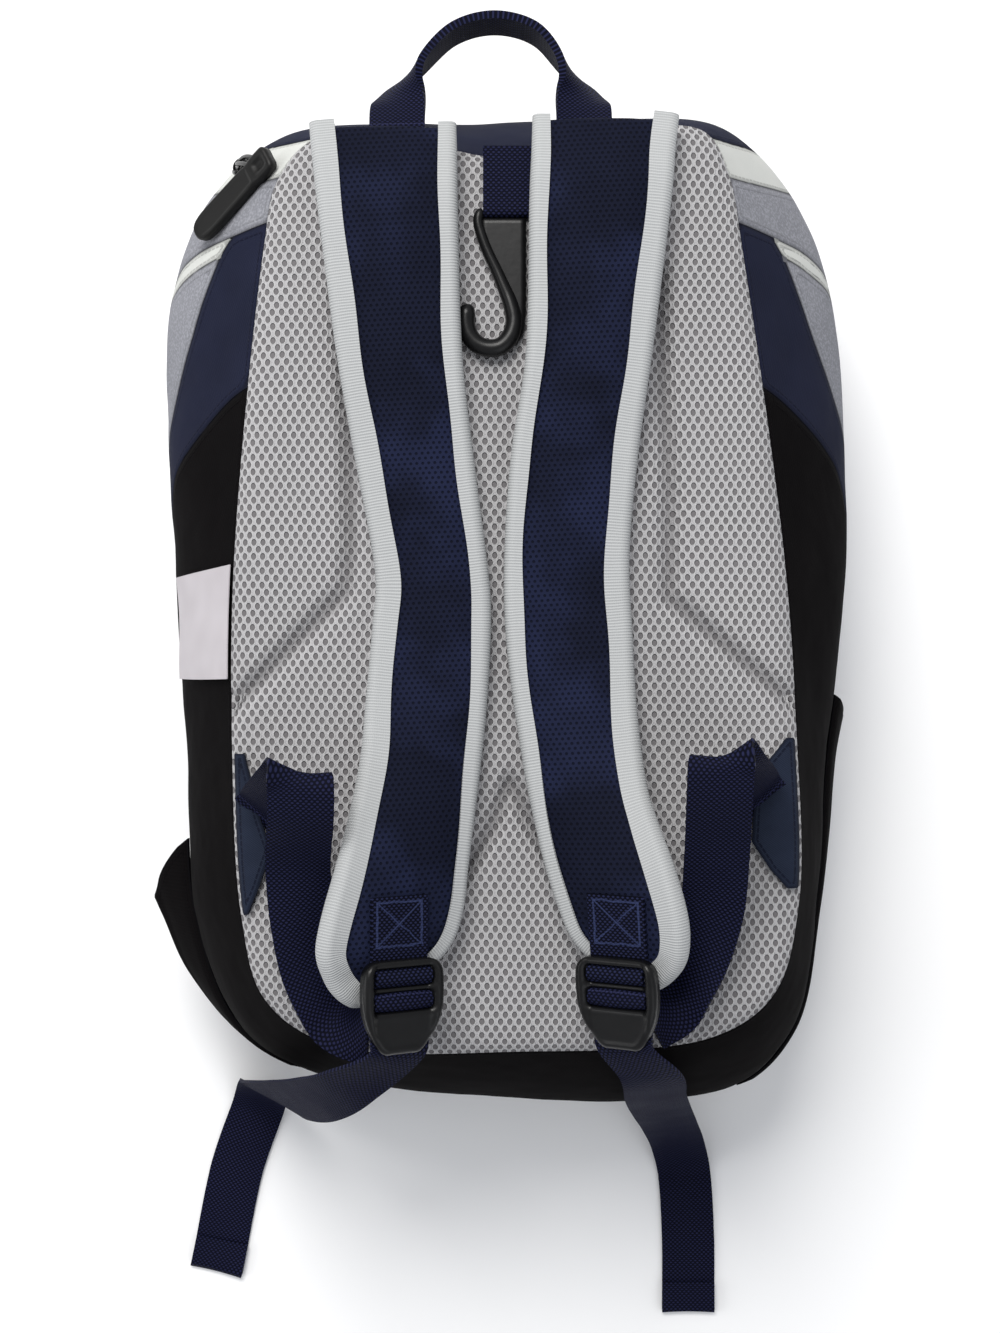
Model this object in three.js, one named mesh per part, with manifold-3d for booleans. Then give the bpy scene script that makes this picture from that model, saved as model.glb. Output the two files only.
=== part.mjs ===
// A youth bat backpack lying face down on its front pocket, harness side up.
// The surface it lies on is z = 0, the top of the bag points to +Y, and the
// origin is on the flat of the front pocket under the middle of the bag.
import * as THREE from "three";
import Module from "manifold-3d";

const wasm = await Module();
wasm.setup();

// Driving dimensions, in millimetres.
const bodyWidth = 297;
const bodyLength = 427;
const bodyDepth = 158;
const widestShare = 0.5;
const clothWall = 2;
const thinCloth = 1.5;
const seamGap = 0.3;
const backPadding = 6.7;
const channelWidth = 8;
const channelDepth = 3;
const strapPadding = 10;
const strapArch = 6;
const bindingReach = 10;
const bindingWall = 1.2;
const webbingWidth = 25;
const webbingThickness = 1.5;
const handleWidth = 22;
const handleThickness = 3.5;
const ladderLockWidth = 35;
const ladderLockLength = 36;
const ladderLockThickness = 4.5;
const hookThickness = 4;
const hookBend = 7;
const hookBar = 7.6;
const pullerLength = 50;
const pullerWidth = 11;
const pullerThickness = 4;
const sliderSize = 9;
const labelThickness = 1;
const leftPocketBulge = 17;
const rightPocketBulge = 6.5;

const halfWidth = bodyWidth / 2;
const halfLength = bodyLength / 2;
const panelTop = bodyDepth + seamGap + backPadding;
const harnessBase = panelTop + seamGap;

// Colours of the cloths, tapes and plastics.
const navy = new THREE.Color(0x1c2748);
const webbingNavy = new THREE.Color(0x20244f);
const black = new THREE.Color(0x161415);
const heatherGrey = new THREE.Color(0x8c8c92);
const meshGrey = new THREE.Color(0xb2b2b0);
const offWhite = new THREE.Color(0xd6dad9);

const bag = new THREE.Group();

// Adds one sub-part to the bag under its own name.
function addPart(name, geometry, color, roughness = 0.85) {
  const mesh = new THREE.Mesh(geometry, new THREE.MeshStandardMaterial({ color, roughness }));
  mesh.name = name;
  bag.add(mesh);
}

// Turns rows of numbers into objects with named columns.
function table(columns, rows) {
  return rows.map((row) => Object.fromEntries(columns.map((column, index) => [column, row[index]])));
}

function mix(start, end, share) {
  return start + (end - start) * share;
}

// Reads a table at any place between its rows, on a smooth curve.
function readTable(rows, column, position) {
  const place = position * (rows.length - 1);
  const row = Math.min(Math.floor(place), rows.length - 2);
  const share = place - row;
  const before = rows[Math.max(row - 1, 0)][column];
  const start = rows[row][column];
  const end = rows[row + 1][column];
  const after = rows[Math.min(row + 2, rows.length - 1)][column];
  const slopeIn = (end - before) / 2;
  const slopeOut = (after - start) / 2;
  const squared = share ** 2;
  const cubed = share ** 3;
  return start * (2 * cubed - 3 * squared + 1) + slopeIn * (cubed - 2 * squared + share)
    + end * (3 * squared - 2 * cubed) + slopeOut * (cubed - squared);
}

// Closed solid through a row of sections with equally many points. Each quad is
// split along its shorter diagonal, so that both faces of a twisted sheet agree.
function loft(sections) {
  const count = sections[0].length;
  const points = sections.flat();
  const triangles = [];
  for (let section = 0; section < sections.length - 1; section += 1) {
    for (let corner = 0; corner < count; corner += 1) {
      const next = (corner + 1) % count;
      const a = section * count + corner;
      const b = section * count + next;
      const c = b + count;
      const d = a + count;
      if (points[a].distanceTo(points[c]) < points[b].distanceTo(points[d])) {
        triangles.push([a, b, c], [a, c, d]);
      } else {
        triangles.push([a, b, d], [b, c, d]);
      }
    }
  }
  const last = (sections.length - 1) * count;
  capTriangles(sections[0]).forEach(([a, b, c]) => triangles.push([c, b, a]));
  capTriangles(sections.at(-1)).forEach(([a, b, c]) => triangles.push([a + last, b + last, c + last]));
  return solidGeometry(points, triangles);
}

// Triangles that close one flat section, turning the way its points run.
function capTriangles(section) {
  const normal = new THREE.Vector3();
  section.forEach((point, index) => {
    normal.add(point.clone().cross(section[(index + 1) % section.length]));
  });
  normal.normalize();
  const helper = Math.abs(normal.z) < 0.9 ? new THREE.Vector3(0, 0, 1) : new THREE.Vector3(1, 0, 0);
  const across = helper.clone().cross(normal).normalize();
  const up = normal.clone().cross(across);
  const flat = section.map((point) => new THREE.Vector2(point.dot(across), point.dot(up)));
  return THREE.ShapeUtils.triangulateShape(flat, []);
}

// Indexed geometry with its faces pointing out.
function solidGeometry(points, triangles) {
  let volume = 0;
  for (const [a, b, c] of triangles) {
    volume += points[a].dot(points[b].clone().cross(points[c]));
  }
  const outward = volume > 0 ? triangles : triangles.map(([a, b, c]) => [a, c, b]);
  const geometry = new THREE.BufferGeometry();
  const position = points.flatMap((point) => point.toArray());
  geometry.setAttribute("position", new THREE.Float32BufferAttribute(position, 3));
  geometry.setIndex(outward.flat());
  return geometry;
}

// Cloth sheet of one thickness: grid holds its lower face, and its upper face
// stands off along the given directions.
function clothSheet(grid, directions, thickness) {
  const upper = grid.map((row, i) => row.map((point, j) => (
    point.clone().addScaledVector(directions[i][j], thickness)
  )));
  return loft(grid.map((row, i) => [...row, ...upper[i].toReversed()]));
}

// Boolean solid of a closed geometry, with the corners at one place merged.
function toSolid(geometry) {
  const position = geometry.getAttribute("position");
  const keys = new Map();
  const points = [];
  const merged = [];
  for (let index = 0; index < position.count; index += 1) {
    const point = new THREE.Vector3().fromBufferAttribute(position, index);
    const key = point.toArray().map((value) => Math.round(value * 1e4)).join();
    if (!keys.has(key)) {
      keys.set(key, points.length);
      points.push(point);
    }
    merged.push(keys.get(key));
  }
  const corners = geometry.getIndex() ? [...geometry.getIndex().array] : [...merged.keys()];
  const triangles = [];
  for (let first = 0; first < corners.length; first += 3) {
    triangles.push(corners.slice(first, first + 3).map((corner) => merged[corner]));
  }
  const outward = solidGeometry(points, triangles);
  return new wasm.Manifold(new wasm.Mesh({
    numProp: 3,
    vertProperties: outward.getAttribute("position").array,
    triVerts: Uint32Array.from(outward.getIndex().array),
  }));
}

function fromSolid(solid) {
  const mesh = solid.getMesh();
  const geometry = new THREE.BufferGeometry();
  geometry.setAttribute("position", new THREE.Float32BufferAttribute(mesh.vertProperties, 3));
  geometry.setIndex([...mesh.triVerts]);
  return geometry;
}

// Body: a loft between three outlines, the flat of the front that the bag lies
// on, the widest outline halfway up, and the seam of the back panel on top.
// Each row is a place round the outline, clockwise from the top of the bag,
// x as a share of half the width and y of half the length.
const outlineTable = table(["place", "backX", "backY", "widestX", "widestY", "frontX", "frontY"], [
  ["between the straps", -0.040, 0.843, -0.040, 0.998, -0.040, 0.806],
  ["top right", 0.303, 0.895, 0.337, 0.998, 0.283, 0.806],
  ["top right shoulder", 0.525, 0.890, 0.640, 0.974, 0.512, 0.763],
  ["right shoulder", 0.593, 0.806, 0.828, 0.852, 0.633, 0.656],
  ["right upper", 0.626, 0.679, 0.949, 0.656, 0.700, 0.506],
  ["right middle", 0.741, 0.094, 0.997, 0.066, 0.741, 0.047],
  ["right lower middle", 0.774, -0.234, 0.936, -0.304, 0.727, -0.258],
  ["right lower", 0.781, -0.553, 0.905, -0.600, 0.694, -0.525],
  ["right lower corner", 0.714, -0.726, 0.835, -0.857, 0.620, -0.693],
  ["bottom right", 0.552, -0.806, 0.660, -0.974, 0.471, -0.787],
  ["bottom middle", 0.034, -0.834, 0.034, -0.998, 0.000, -0.806],
  ["bottom left", -0.485, -0.820, -0.593, -0.937, -0.458, -0.778],
  ["left lower corner", -0.660, -0.735, -0.795, -0.843, -0.606, -0.689],
  ["left lower", -0.721, -0.585, -0.923, -0.609, -0.687, -0.525],
  ["left lower middle", -0.747, -0.258, -0.949, -0.290, -0.727, -0.258],
  ["left middle", -0.741, 0.094, -0.983, 0.075, -0.741, 0.047],
  ["left upper", -0.660, 0.679, -1.003, 0.618, -0.714, 0.506],
  ["left shoulder", -0.626, 0.796, -0.882, 0.843, -0.646, 0.656],
  ["top left shoulder", -0.525, 0.876, -0.653, 0.965, -0.512, 0.763],
  ["top left", -0.303, 0.885, -0.337, 0.988, -0.283, 0.806],
]);
const places = outlineTable.length;
const outlineSteps = places * 2;
const riseSteps = [0, 0.02, 0.08, 0.2, 0.34, 0.5, 0.66, 0.78, 0.89, 1];

function outlineCurve(level) {
  const points = outlineTable.map((row) => new THREE.Vector3(
    row[level + "X"] * halfWidth,
    row[level + "Y"] * halfLength,
    0,
  ));
  return new THREE.CatmullRomCurve3(points, true, "centripetal");
}

const outlines = {
  back: outlineCurve("back"),
  widest: outlineCurve("widest"),
  front: outlineCurve("front"),
};

function turnOf(around) {
  return ((around / places) % 1 + 1) % 1;
}

// Point of the body's outer surface: around counts outline rows, rise is the
// share of the depth above the surface that the bag lies on.
function bodyPoint(around, rise) {
  const turn = turnOf(around);
  const widest = outlines.widest.getPoint(turn);
  const lower = rise < widestShare;
  const edge = (lower ? outlines.front : outlines.back).getPoint(turn);
  const fromWidest = lower ? 1 - rise / widestShare : (rise - widestShare) / (1 - widestShare);
  const spread = lower ? Math.sqrt(1 - fromWidest ** 2) : Math.cos(fromWidest * Math.PI / 2);
  return edge.lerp(widest, spread).setZ(rise * bodyDepth);
}

function bodyNormal(around, rise) {
  const step = 0.02;
  const low = Math.max(rise - step, 0);
  const high = Math.min(rise + step, 1);
  const along = bodyPoint(around + step, rise).sub(bodyPoint(around - step, rise));
  const up = bodyPoint(around, high).sub(bodyPoint(around, low));
  return up.cross(along).normalize();
}

// One ring of the body, moved out by a distance or in by a negative one.
function bodyRing(rise, distance) {
  const ring = [];
  for (let step = 0; step < outlineSteps; step += 1) {
    const around = step * places / outlineSteps;
    const normal = bodyNormal(around, rise);
    if (rise === 1) {
      normal.setZ(0).normalize();
    }
    ring.push(bodyPoint(around, rise).addScaledVector(normal, distance));
  }
  return ring;
}

function bodyTub() {
  const outer = riseSteps.map((rise) => bodyRing(rise, 0));
  const inner = riseSteps.map((rise) => bodyRing(rise, -clothWall));
  inner[0].forEach((point) => point.setZ(clothWall));
  return loft([...outer, ...inner.toReversed()]);
}

// Room that the closed body takes up, grown by one seam gap.
const bodyRoom = toSolid(loft(riseSteps.map((rise) => bodyRing(rise, seamGap))));

// Seam lines as seen from the side, from the back seam towards the front:
// y as a share of half the length, z as a share of the depth.
function seamLine(rows) {
  return rows.map(([y, z]) => new THREE.Vector2(y * halfLength, z * bodyDepth));
}

const above = 1.11;
const below = -0.04;
const beyondTop = 1.087;
const beyondBottom = -1.1;
const mainZipBack = seamLine([
  [0.881, above], [0.881, 1], [0.904, 0.76], [0.937, 0.506], [0.993, 0.33], [beyondTop, 0.25],
]);
const mainZipFront = seamLine([
  [0.806, above], [0.806, 1], [0.824, 0.76], [0.857, 0.506], [0.899, 0.304], [0.96, 0.177],
  [beyondTop, 0.1],
]);
const frontZipTop = seamLine([
  [0.712, 0.886], [0.712, 0.696], [0.698, 0.57], [0.656, 0.456], [0.59, 0.329], [0.529, 0.19],
  [0.482, 0.05], [0.473, below],
]);
const frontZipBottom = seamLine([
  [0.693, 0.797], [0.684, 0.696], [0.665, 0.57], [0.623, 0.456], [0.557, 0.329], [0.496, 0.19],
  [0.45, 0.05], [0.44, below],
]);
const sideTop = seamLine([[0.721, above], [0.721, 1], [0.712, 0.886]]);
const sideFront = seamLine([
  [0.693, 0.797], [0.656, 0.696], [0.553, 0.582], [0.445, 0.506], [0.281, 0.392], [0.094, 0.291],
  [-0.281, 0.24], [-0.703, 0.24],
]);
const gussetFront = seamLine([
  [0.412, above], [0.412, 1], [0.337, 0.823], [0.244, 0.646], [0.141, 0.582], [-0.281, 0.57],
  [-0.703, 0.57],
]);
const gussetBottom = seamLine([[-0.703, 0.57], [beyondBottom, 0.57]]);
const baseFront = seamLine([
  [-0.703, 0.57], [-0.703, 0.24], [-0.749, 0.076], [-0.778, 0.013], [-0.778, below],
]);

// Prism across the whole bag whose outline is drawn in the side view.
function sidePrism(points, fromX = -halfWidth * 1.2, toX = halfWidth * 1.2) {
  const shape = new THREE.Shape(points);
  const geometry = new THREE.ExtrudeGeometry(shape, { depth: toX - fromX, bevelEnabled: false, steps: 1 });
  geometry.applyMatrix4(new THREE.Matrix4().set(0, 0, 1, fromX, 1, 0, 0, 0, 0, 1, 0, 0, 0, 0, 0, 1));
  return toSolid(geometry);
}

// Thin prism that opens the gap along one seam.
function seamCut(line) {
  const sides = [-1, 1].map((side) => line.map((point, index) => {
    const before = line[Math.max(index - 1, 0)];
    const after = line[Math.min(index + 1, line.length - 1)];
    const along = after.clone().sub(before).normalize();
    const end = index === 0 ? -1 : Number(index === line.length - 1);
    return point.clone()
      .addScaledVector(new THREE.Vector2(-along.y, along.x), side * seamGap / 2)
      .addScaledVector(along, end * seamGap);
  }));
  return sidePrism([...sides[0], ...sides[1].toReversed()]);
}

const seams = [
  mainZipBack, mainZipFront, frontZipTop, frontZipBottom, [...sideTop, ...sideFront],
  [...gussetFront, gussetBottom[1]], baseFront,
];
let tub = toSolid(bodyTub());
for (const line of seams) {
  tub = tub.subtract(seamCut(line));
}

function corner(y, z) {
  return seamLine([[y, z]])[0];
}

function bodyPanel(name, outline, color, fromX, toX) {
  addPart(name, fromSolid(tub.intersect(sidePrism(outline, fromX, toX))), color);
}

const sidePanelOutline = [...sideTop, ...sideFront, ...gussetFront.toReversed()];
bodyPanel("top_yoke", [...mainZipBack, corner(beyondTop, above)], navy);
bodyPanel("main_zipper", [...mainZipBack, ...mainZipFront.toReversed()], offWhite);
bodyPanel("upper_band", [
  ...mainZipFront, corner(beyondTop, below), ...frontZipTop.toReversed(),
  ...sideTop.slice(0, 2).toReversed(),
], heatherGrey);
bodyPanel("front_zipper", [...frontZipTop, ...frontZipBottom.toReversed()], offWhite);
bodyPanel("front_pocket", [
  ...frontZipBottom, ...baseFront.slice(1).toReversed(), ...sideFront.slice(1, -1).toReversed(),
], heatherGrey);
bodyPanel("left_side_panel", sidePanelOutline, navy, -halfWidth * 1.2, 0);
bodyPanel("right_side_panel", sidePanelOutline, navy, 0, halfWidth * 1.2);
bodyPanel("back_gusset", [...gussetFront, gussetBottom[1], corner(beyondBottom, above)], black);
bodyPanel("base_panel", [gussetBottom[1], corner(beyondBottom, below), ...baseFront.toReversed()], black);

// Back panel: spacer mesh over foam, rolled down to its seam all round. Rows
// run from the seam inwards: reach towards the outline, and share of padding.
const panelRoll = table(["reach", "padding"], [
  [1, 0.15], [0.985, 0.5], [0.95, 0.82], [0.89, 0.97], [0.8, 1], [0.4, 1], [0.02, 1],
]);

function panelPoint(around, reach, height) {
  return outlines.back.getPoint(turnOf(around)).multiplyScalar(reach).setZ(height);
}

function panelRing(reach, height) {
  return Array.from({ length: outlineSteps }, (_, step) => (
    panelPoint(step * places / outlineSteps, reach, height)
  ));
}

function paddedPanel(raise) {
  const base = bodyDepth + seamGap + raise;
  const under = [0.02, 1].map((reach) => panelRing(reach, base));
  const over = panelRoll.map((row) => panelRing(row.reach, base + row.padding * backPadding));
  return toSolid(loft([...under, ...over]));
}

// Sewn channels of the back panel: x as a share of half the width, y of half
// the length, from the seam towards the middle.
const channels = [
  [[-0.745, -0.19], [-0.44, 0.025], [-0.425, 0.11], [-0.43, 0.33], [-0.45, 0.62]],
  [[0.775, -0.19], [0.43, 0.015], [0.43, 0.21], [0.415, 0.4], [0.4, 0.62]],
  [[-0.2, -0.58], [-0.05, -0.42], [0.0, -0.33], [0.07, -0.42], [0.22, -0.58]],
];

// Groove of triangular section that follows one channel.
function channelCut(route) {
  const points = route.map(([x, y]) => new THREE.Vector3(x * halfWidth, y * halfLength, panelTop));
  const sections = points.map((point, index) => {
    const before = points[Math.max(index - 1, 0)];
    const after = points[Math.min(index + 1, points.length - 1)];
    const along = after.clone().sub(before).normalize();
    const side = new THREE.Vector3(-along.y, along.x, 0).multiplyScalar(channelWidth / 2);
    return [
      point.clone().add(side).setZ(panelTop + seamGap),
      point.clone().sub(side).setZ(panelTop + seamGap),
      point.clone().setZ(panelTop - channelDepth),
    ];
  });
  return toSolid(loft(sections));
}

let backPanel = paddedPanel(0);
for (const route of channels) {
  backPanel = backPanel.subtract(channelCut(route));
}
addPart("back_panel", fromSolid(backPanel), meshGrey);

// Height of the back panel's padded face at a place on it.
function panelHeight(x, y) {
  const place = new THREE.Vector2(x, y);
  let reach = 0;
  for (let step = 0; step < outlineSteps; step += 1) {
    const a = panelPoint(step * places / outlineSteps, 1, 0);
    const b = panelPoint((step + 1) * places / outlineSteps, 1, 0);
    const turn = a.x * b.y - a.y * b.x;
    const shareA = (place.x * b.y - place.y * b.x) / turn;
    const shareB = (a.x * place.y - a.y * place.x) / turn;
    if (shareA >= -1e-6 && shareB >= -1e-6) {
      reach = shareA + shareB;
    }
  }
  let padding = panelRoll[0].padding;
  panelRoll.slice(1).forEach((row, index) => {
    const outside = panelRoll[index];
    if (reach <= outside.reach) {
      const share = Math.min((outside.reach - reach) / (outside.reach - row.reach), 1);
      padding = mix(outside.padding, row.padding, share);
    }
  });
  return bodyDepth + seamGap + padding * backPadding;
}

// Side pockets: one cloth layer over each lower side, open at its mouth and
// standing off there. Mouth and end count outline rows.
function sidePocket(name, mouthBack, mouthFront, end, bulge) {
  const alongSteps = 8;
  const acrossSteps = 6;
  const backRise = 0.545;
  const frontRise = 0.26;
  const standOff = 0.6;
  const grid = [];
  const directions = [];
  for (let i = 0; i <= alongSteps; i += 1) {
    const along = i / alongSteps;
    const row = [];
    const rowDirections = [];
    for (let j = 0; j <= acrossSteps; j += 1) {
      const across = j / acrossSteps;
      const mouth = mix(mouthBack, mouthFront, Math.min(across * 2, 1));
      const around = mix(mouth, end, along);
      const rise = mix(backRise, frontRise, across);
      const away = standOff + bulge * Math.sin(Math.PI * across) * (1 - along) ** 1.3;
      const normal = bodyNormal(around, rise);
      row.push(bodyPoint(around, rise).addScaledVector(normal, away));
      rowDirections.push(normal);
    }
    grid.push(row);
    directions.push(rowDirections);
  }
  const solid = toSolid(clothSheet(grid, directions, thinCloth)).subtract(bodyRoom);
  addPart(name, fromSolid(solid), black);
}

sidePocket("left_side_pocket", 13.47, 13.05, 11.05, leftPocketBulge);
sidePocket("right_side_pocket", 5.62, 5.75, 8.95, rightPocketBulge);

// Care label: a blank tape sewn into the left seam, lying over the gusset.
function careLabel() {
  const rows = 4;
  const standOff = 0.8;
  const grid = [];
  const directions = [];
  for (let i = 0; i <= rows; i += 1) {
    const rise = mix(0.975, 0.72, i / rows);
    const ends = [mix(14.36, 14.42, i / rows), 14.96];
    const normals = ends.map((around) => bodyNormal(around, rise));
    grid.push(ends.map((around, k) => bodyPoint(around, rise).addScaledVector(normals[k], standOff)));
    directions.push(normals);
  }
  return fromSolid(toSolid(clothSheet(grid, directions, labelThickness)).subtract(bodyRoom));
}

addPart("care_label", careLabel(), offWhite);

// Shoulder straps. Rows run from the yoke down to the rounded lower tip: along
// as a share of half the length, the outer and inner edges as shares of half
// the width, the lift of the inner edge as a share of the strap's arch, the
// tilt that raises the outer edge in degrees, and the share of full padding.
const strapColumns = ["along", "outer", "inner", "lift", "tilt", "padding"];
const strapTables = {
  left: table(strapColumns, [
    [0.890, -0.532, -0.141, 0.1, 0, 0.5],
    [0.820, -0.522, -0.138, 0.6, 0, 0.8],
    [0.703, -0.502, -0.135, 0.9, 0, 1],
    [0.468, -0.459, -0.125, 0.7, 0, 1],
    [0.281, -0.413, -0.096, 0.3, 0, 1],
    [0.070, -0.358, -0.057, 0, 0, 1],
    [-0.028, -0.363, -0.048, 0, 0, 1],
    [-0.178, -0.381, -0.059, 0, 4, 1],
    [-0.281, -0.392, -0.074, 0, 12, 1],
    [-0.398, -0.421, -0.096, 0, 22, 1],
    [-0.487, -0.451, -0.114, 0.05, 29, 1],
    [-0.562, -0.477, -0.128, 0.1, 32, 1],
    [-0.623, -0.490, -0.160, 0.5, 32, 1],
    [-0.670, -0.474, -0.229, 1.2, 32, 0.9],
    [-0.703, -0.448, -0.303, 2.2, 32, 0.8],
    [-0.726, -0.411, -0.357, 2.8, 32, 0.7],
  ]),
  right: table(strapColumns, [
    [0.904, 0.451, 0.061, 0.1, 0, 0.5],
    [0.834, 0.439, 0.058, 0.6, 0, 0.8],
    [0.740, 0.427, 0.052, 0.9, 0, 1],
    [0.468, 0.379, 0.044, 0.7, 0, 1],
    [0.281, 0.342, 0.004, 0.3, 0, 1],
    [0.094, 0.319, -0.014, 0, 0, 1],
    [-0.047, 0.327, -0.011, 0, 0, 1],
    [-0.187, 0.337, 0.012, 0, 4, 1],
    [-0.323, 0.358, 0.044, 0, 14, 1],
    [-0.393, 0.384, 0.066, 0, 22, 1],
    [-0.468, 0.419, 0.094, 0.05, 29, 1],
    [-0.557, 0.451, 0.136, 0.1, 32, 1],
    [-0.614, 0.457, 0.173, 0.35, 32, 1],
    [-0.651, 0.446, 0.222, 0.85, 32, 0.9],
    [-0.679, 0.418, 0.276, 1.5, 32, 0.8],
    [-0.698, 0.384, 0.323, 2.1, 32, 0.7],
  ]),
};

// Frame of a strap at a share of its row count: its middle, the direction of
// its outer edge, the direction down its length and the one out of its face.
function strapFrame(rows, position) {
  const tilt = THREE.MathUtils.degToRad(readTable(rows, "tilt", position));
  const outer = readTable(rows, "outer", position) * halfWidth;
  const inner = readTable(rows, "inner", position) * halfWidth;
  const planHalf = Math.abs(outer - inner) / 2;
  const padding = readTable(rows, "padding", position);
  const middle = new THREE.Vector3(
    (outer + inner) / 2,
    readTable(rows, "along", position) * halfLength,
    harnessBase + strapPadding / 2 / Math.cos(tilt) + readTable(rows, "lift", position) * strapArch
      + planHalf * Math.tan(tilt),
  );
  const outward = new THREE.Vector3(Math.sign(outer) * Math.cos(tilt), 0, Math.sin(tilt));
  return { middle, outward, half: planHalf / Math.cos(tilt), padding };
}

// The frames of a strap at every table row, with its face and length set from
// the run of its middle line.
function strapFrames(rows) {
  const frames = rows.map((_, index) => strapFrame(rows, index / (rows.length - 1)));
  return frames.map((frame, index) => {
    const before = frames[Math.max(index - 1, 0)].middle;
    const after = frames[Math.min(index + 1, frames.length - 1)].middle;
    return { ...frame, ...faceOf(frame.outward, after.clone().sub(before)) };
  });
}

function faceOf(outward, run) {
  const face = outward.clone().cross(run).normalize();
  if (face.z < 0) {
    face.negate();
  }
  const down = face.clone().cross(outward).normalize();
  if (down.y > 0) {
    down.negate();
  }
  return { face, down };
}

// Foam pad of a strap: thin at both edges, where the binding takes it.
function strapPad(frames) {
  const edgeHalf = strapPadding / 2 - bindingWall - seamGap;
  const leastShelf = 0.45;
  const leastCrown = 0.3;
  return loft(frames.map(({ middle, outward, face, half, padding }) => {
    const edge = half - bindingWall - seamGap;
    const shelf = Math.max(half - bindingReach - seamGap, half * leastShelf);
    const crown = Math.max(half - bindingReach - strapPadding / 2, half * leastCrown);
    const upper = [[-edge, edgeHalf], [-shelf, edgeHalf], [-crown, strapPadding / 2]];
    const top = [...upper, ...upper.toReversed().map(([across, up]) => [-across, up])];
    const bottom = top.toReversed().map(([across, up]) => [across, -up]);
    return [...top, ...bottom].map(([across, up]) => middle.clone()
      .addScaledVector(outward, across)
      .addScaledVector(face, up * padding));
  }));
}

function edgePoint({ middle, outward, half }, side) {
  return middle.clone().addScaledVector(outward, side * half);
}

// Tape folded round the strap's edge, from the yoke down the outer edge, round
// the tip and up the inner edge. A grown one clears its room in the pad.
function strapBinding(frames, grow) {
  const route = [
    ...frames.map((frame) => ({ ...frame, point: edgePoint(frame, 1) })),
    ...frames.toReversed().map((frame) => ({ ...frame, point: edgePoint(frame, -1) })),
  ];
  return loft(route.map(({ point, face, padding, middle }, index) => {
    const before = route[Math.max(index - 1, 0)].point;
    const after = route[Math.min(index + 1, route.length - 1)].point;
    const inward = after.clone().sub(before).cross(face).normalize();
    if (inward.dot(middle.clone().sub(point)) < 0) {
      inward.negate();
    }
    const half = padding * strapPadding / 2;
    const opening = half - bindingWall;
    const section = [
      [-grow, -half - grow], [bindingReach + grow, -half - grow], [bindingReach + grow, -opening + grow],
      [bindingWall + grow, -opening + grow], [bindingWall + grow, opening - grow],
      [bindingReach + grow, opening - grow], [bindingReach + grow, half + grow], [-grow, half + grow],
    ];
    return section.map(([into, up]) => (
      point.clone().addScaledVector(inward, into).addScaledVector(face, up)
    ));
  }));
}

// The largest body of a solid, without the crumbs that a cut leaves.
function mainBody(solid) {
  return solid.decompose().sort((a, b) => b.volume() - a.volume())[0];
}

// Flat tape through rows of middle points, each with the direction across it.
function tape(rows, width, thickness) {
  return loft(rows.map(({ point, across }, index) => {
    const before = rows[Math.max(index - 1, 0)].point;
    const after = rows[Math.min(index + 1, rows.length - 1)].point;
    const side = across.clone().normalize();
    const face = side.clone().cross(after.clone().sub(before)).normalize();
    return [[-1, -1], [1, -1], [1, 1], [-1, 1]].map(([s, f]) => point.clone()
      .addScaledVector(side, s * width / 2)
      .addScaledVector(face, f * thickness / 2));
  }));
}

// Table rows of a tape: x as a share of half the width, y of half the length,
// z of the panel's height, and the heading and lift across it in degrees.
function tapeRows(rows) {
  return table(["x", "y", "z", "heading", "lift"], rows).map((row) => {
    const heading = THREE.MathUtils.degToRad(row.heading);
    const lift = THREE.MathUtils.degToRad(row.lift);
    const flat = new THREE.Vector3(Math.cos(heading), Math.sin(heading), 0);
    return {
      point: new THREE.Vector3(row.x * halfWidth, row.y * halfLength, row.z * panelTop),
      across: flat.multiplyScalar(Math.cos(lift)).setZ(Math.sin(lift)),
    };
  });
}

// Ladder lock and the tapes that meet in it. Places are in the strap's frame at
// the stitched tab: out towards the outer edge, down the strap, up off its face.
const tabLength = 22;
const lockStart = tabLength / 2 + 2;
const rimLength = 3;
const slotLength = 7;
const dividerLength = 2.5;
const cornerCut = 3.5;
const railWidth = (ladderLockWidth - webbingWidth) / 2 - seamGap;
const lockBase = seamGap * 2 + webbingThickness;
const lockEnd = lockStart + ladderLockLength;
const slotTwo = lockStart + rimLength + slotLength + dividerLength;

function strapTab(rows, position) {
  const frame = strapFrame(rows, position);
  const run = strapFrame(rows, position + 0.02).middle.sub(strapFrame(rows, position - 0.02).middle);
  return { ...frame, ...faceOf(frame.outward, run) };
}

function placeAt({ middle, outward, down, face }, out, along, up) {
  return middle.clone()
    .addScaledVector(outward, out)
    .addScaledVector(down, along)
    .addScaledVector(face, strapPadding / 2 + up);
}

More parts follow.
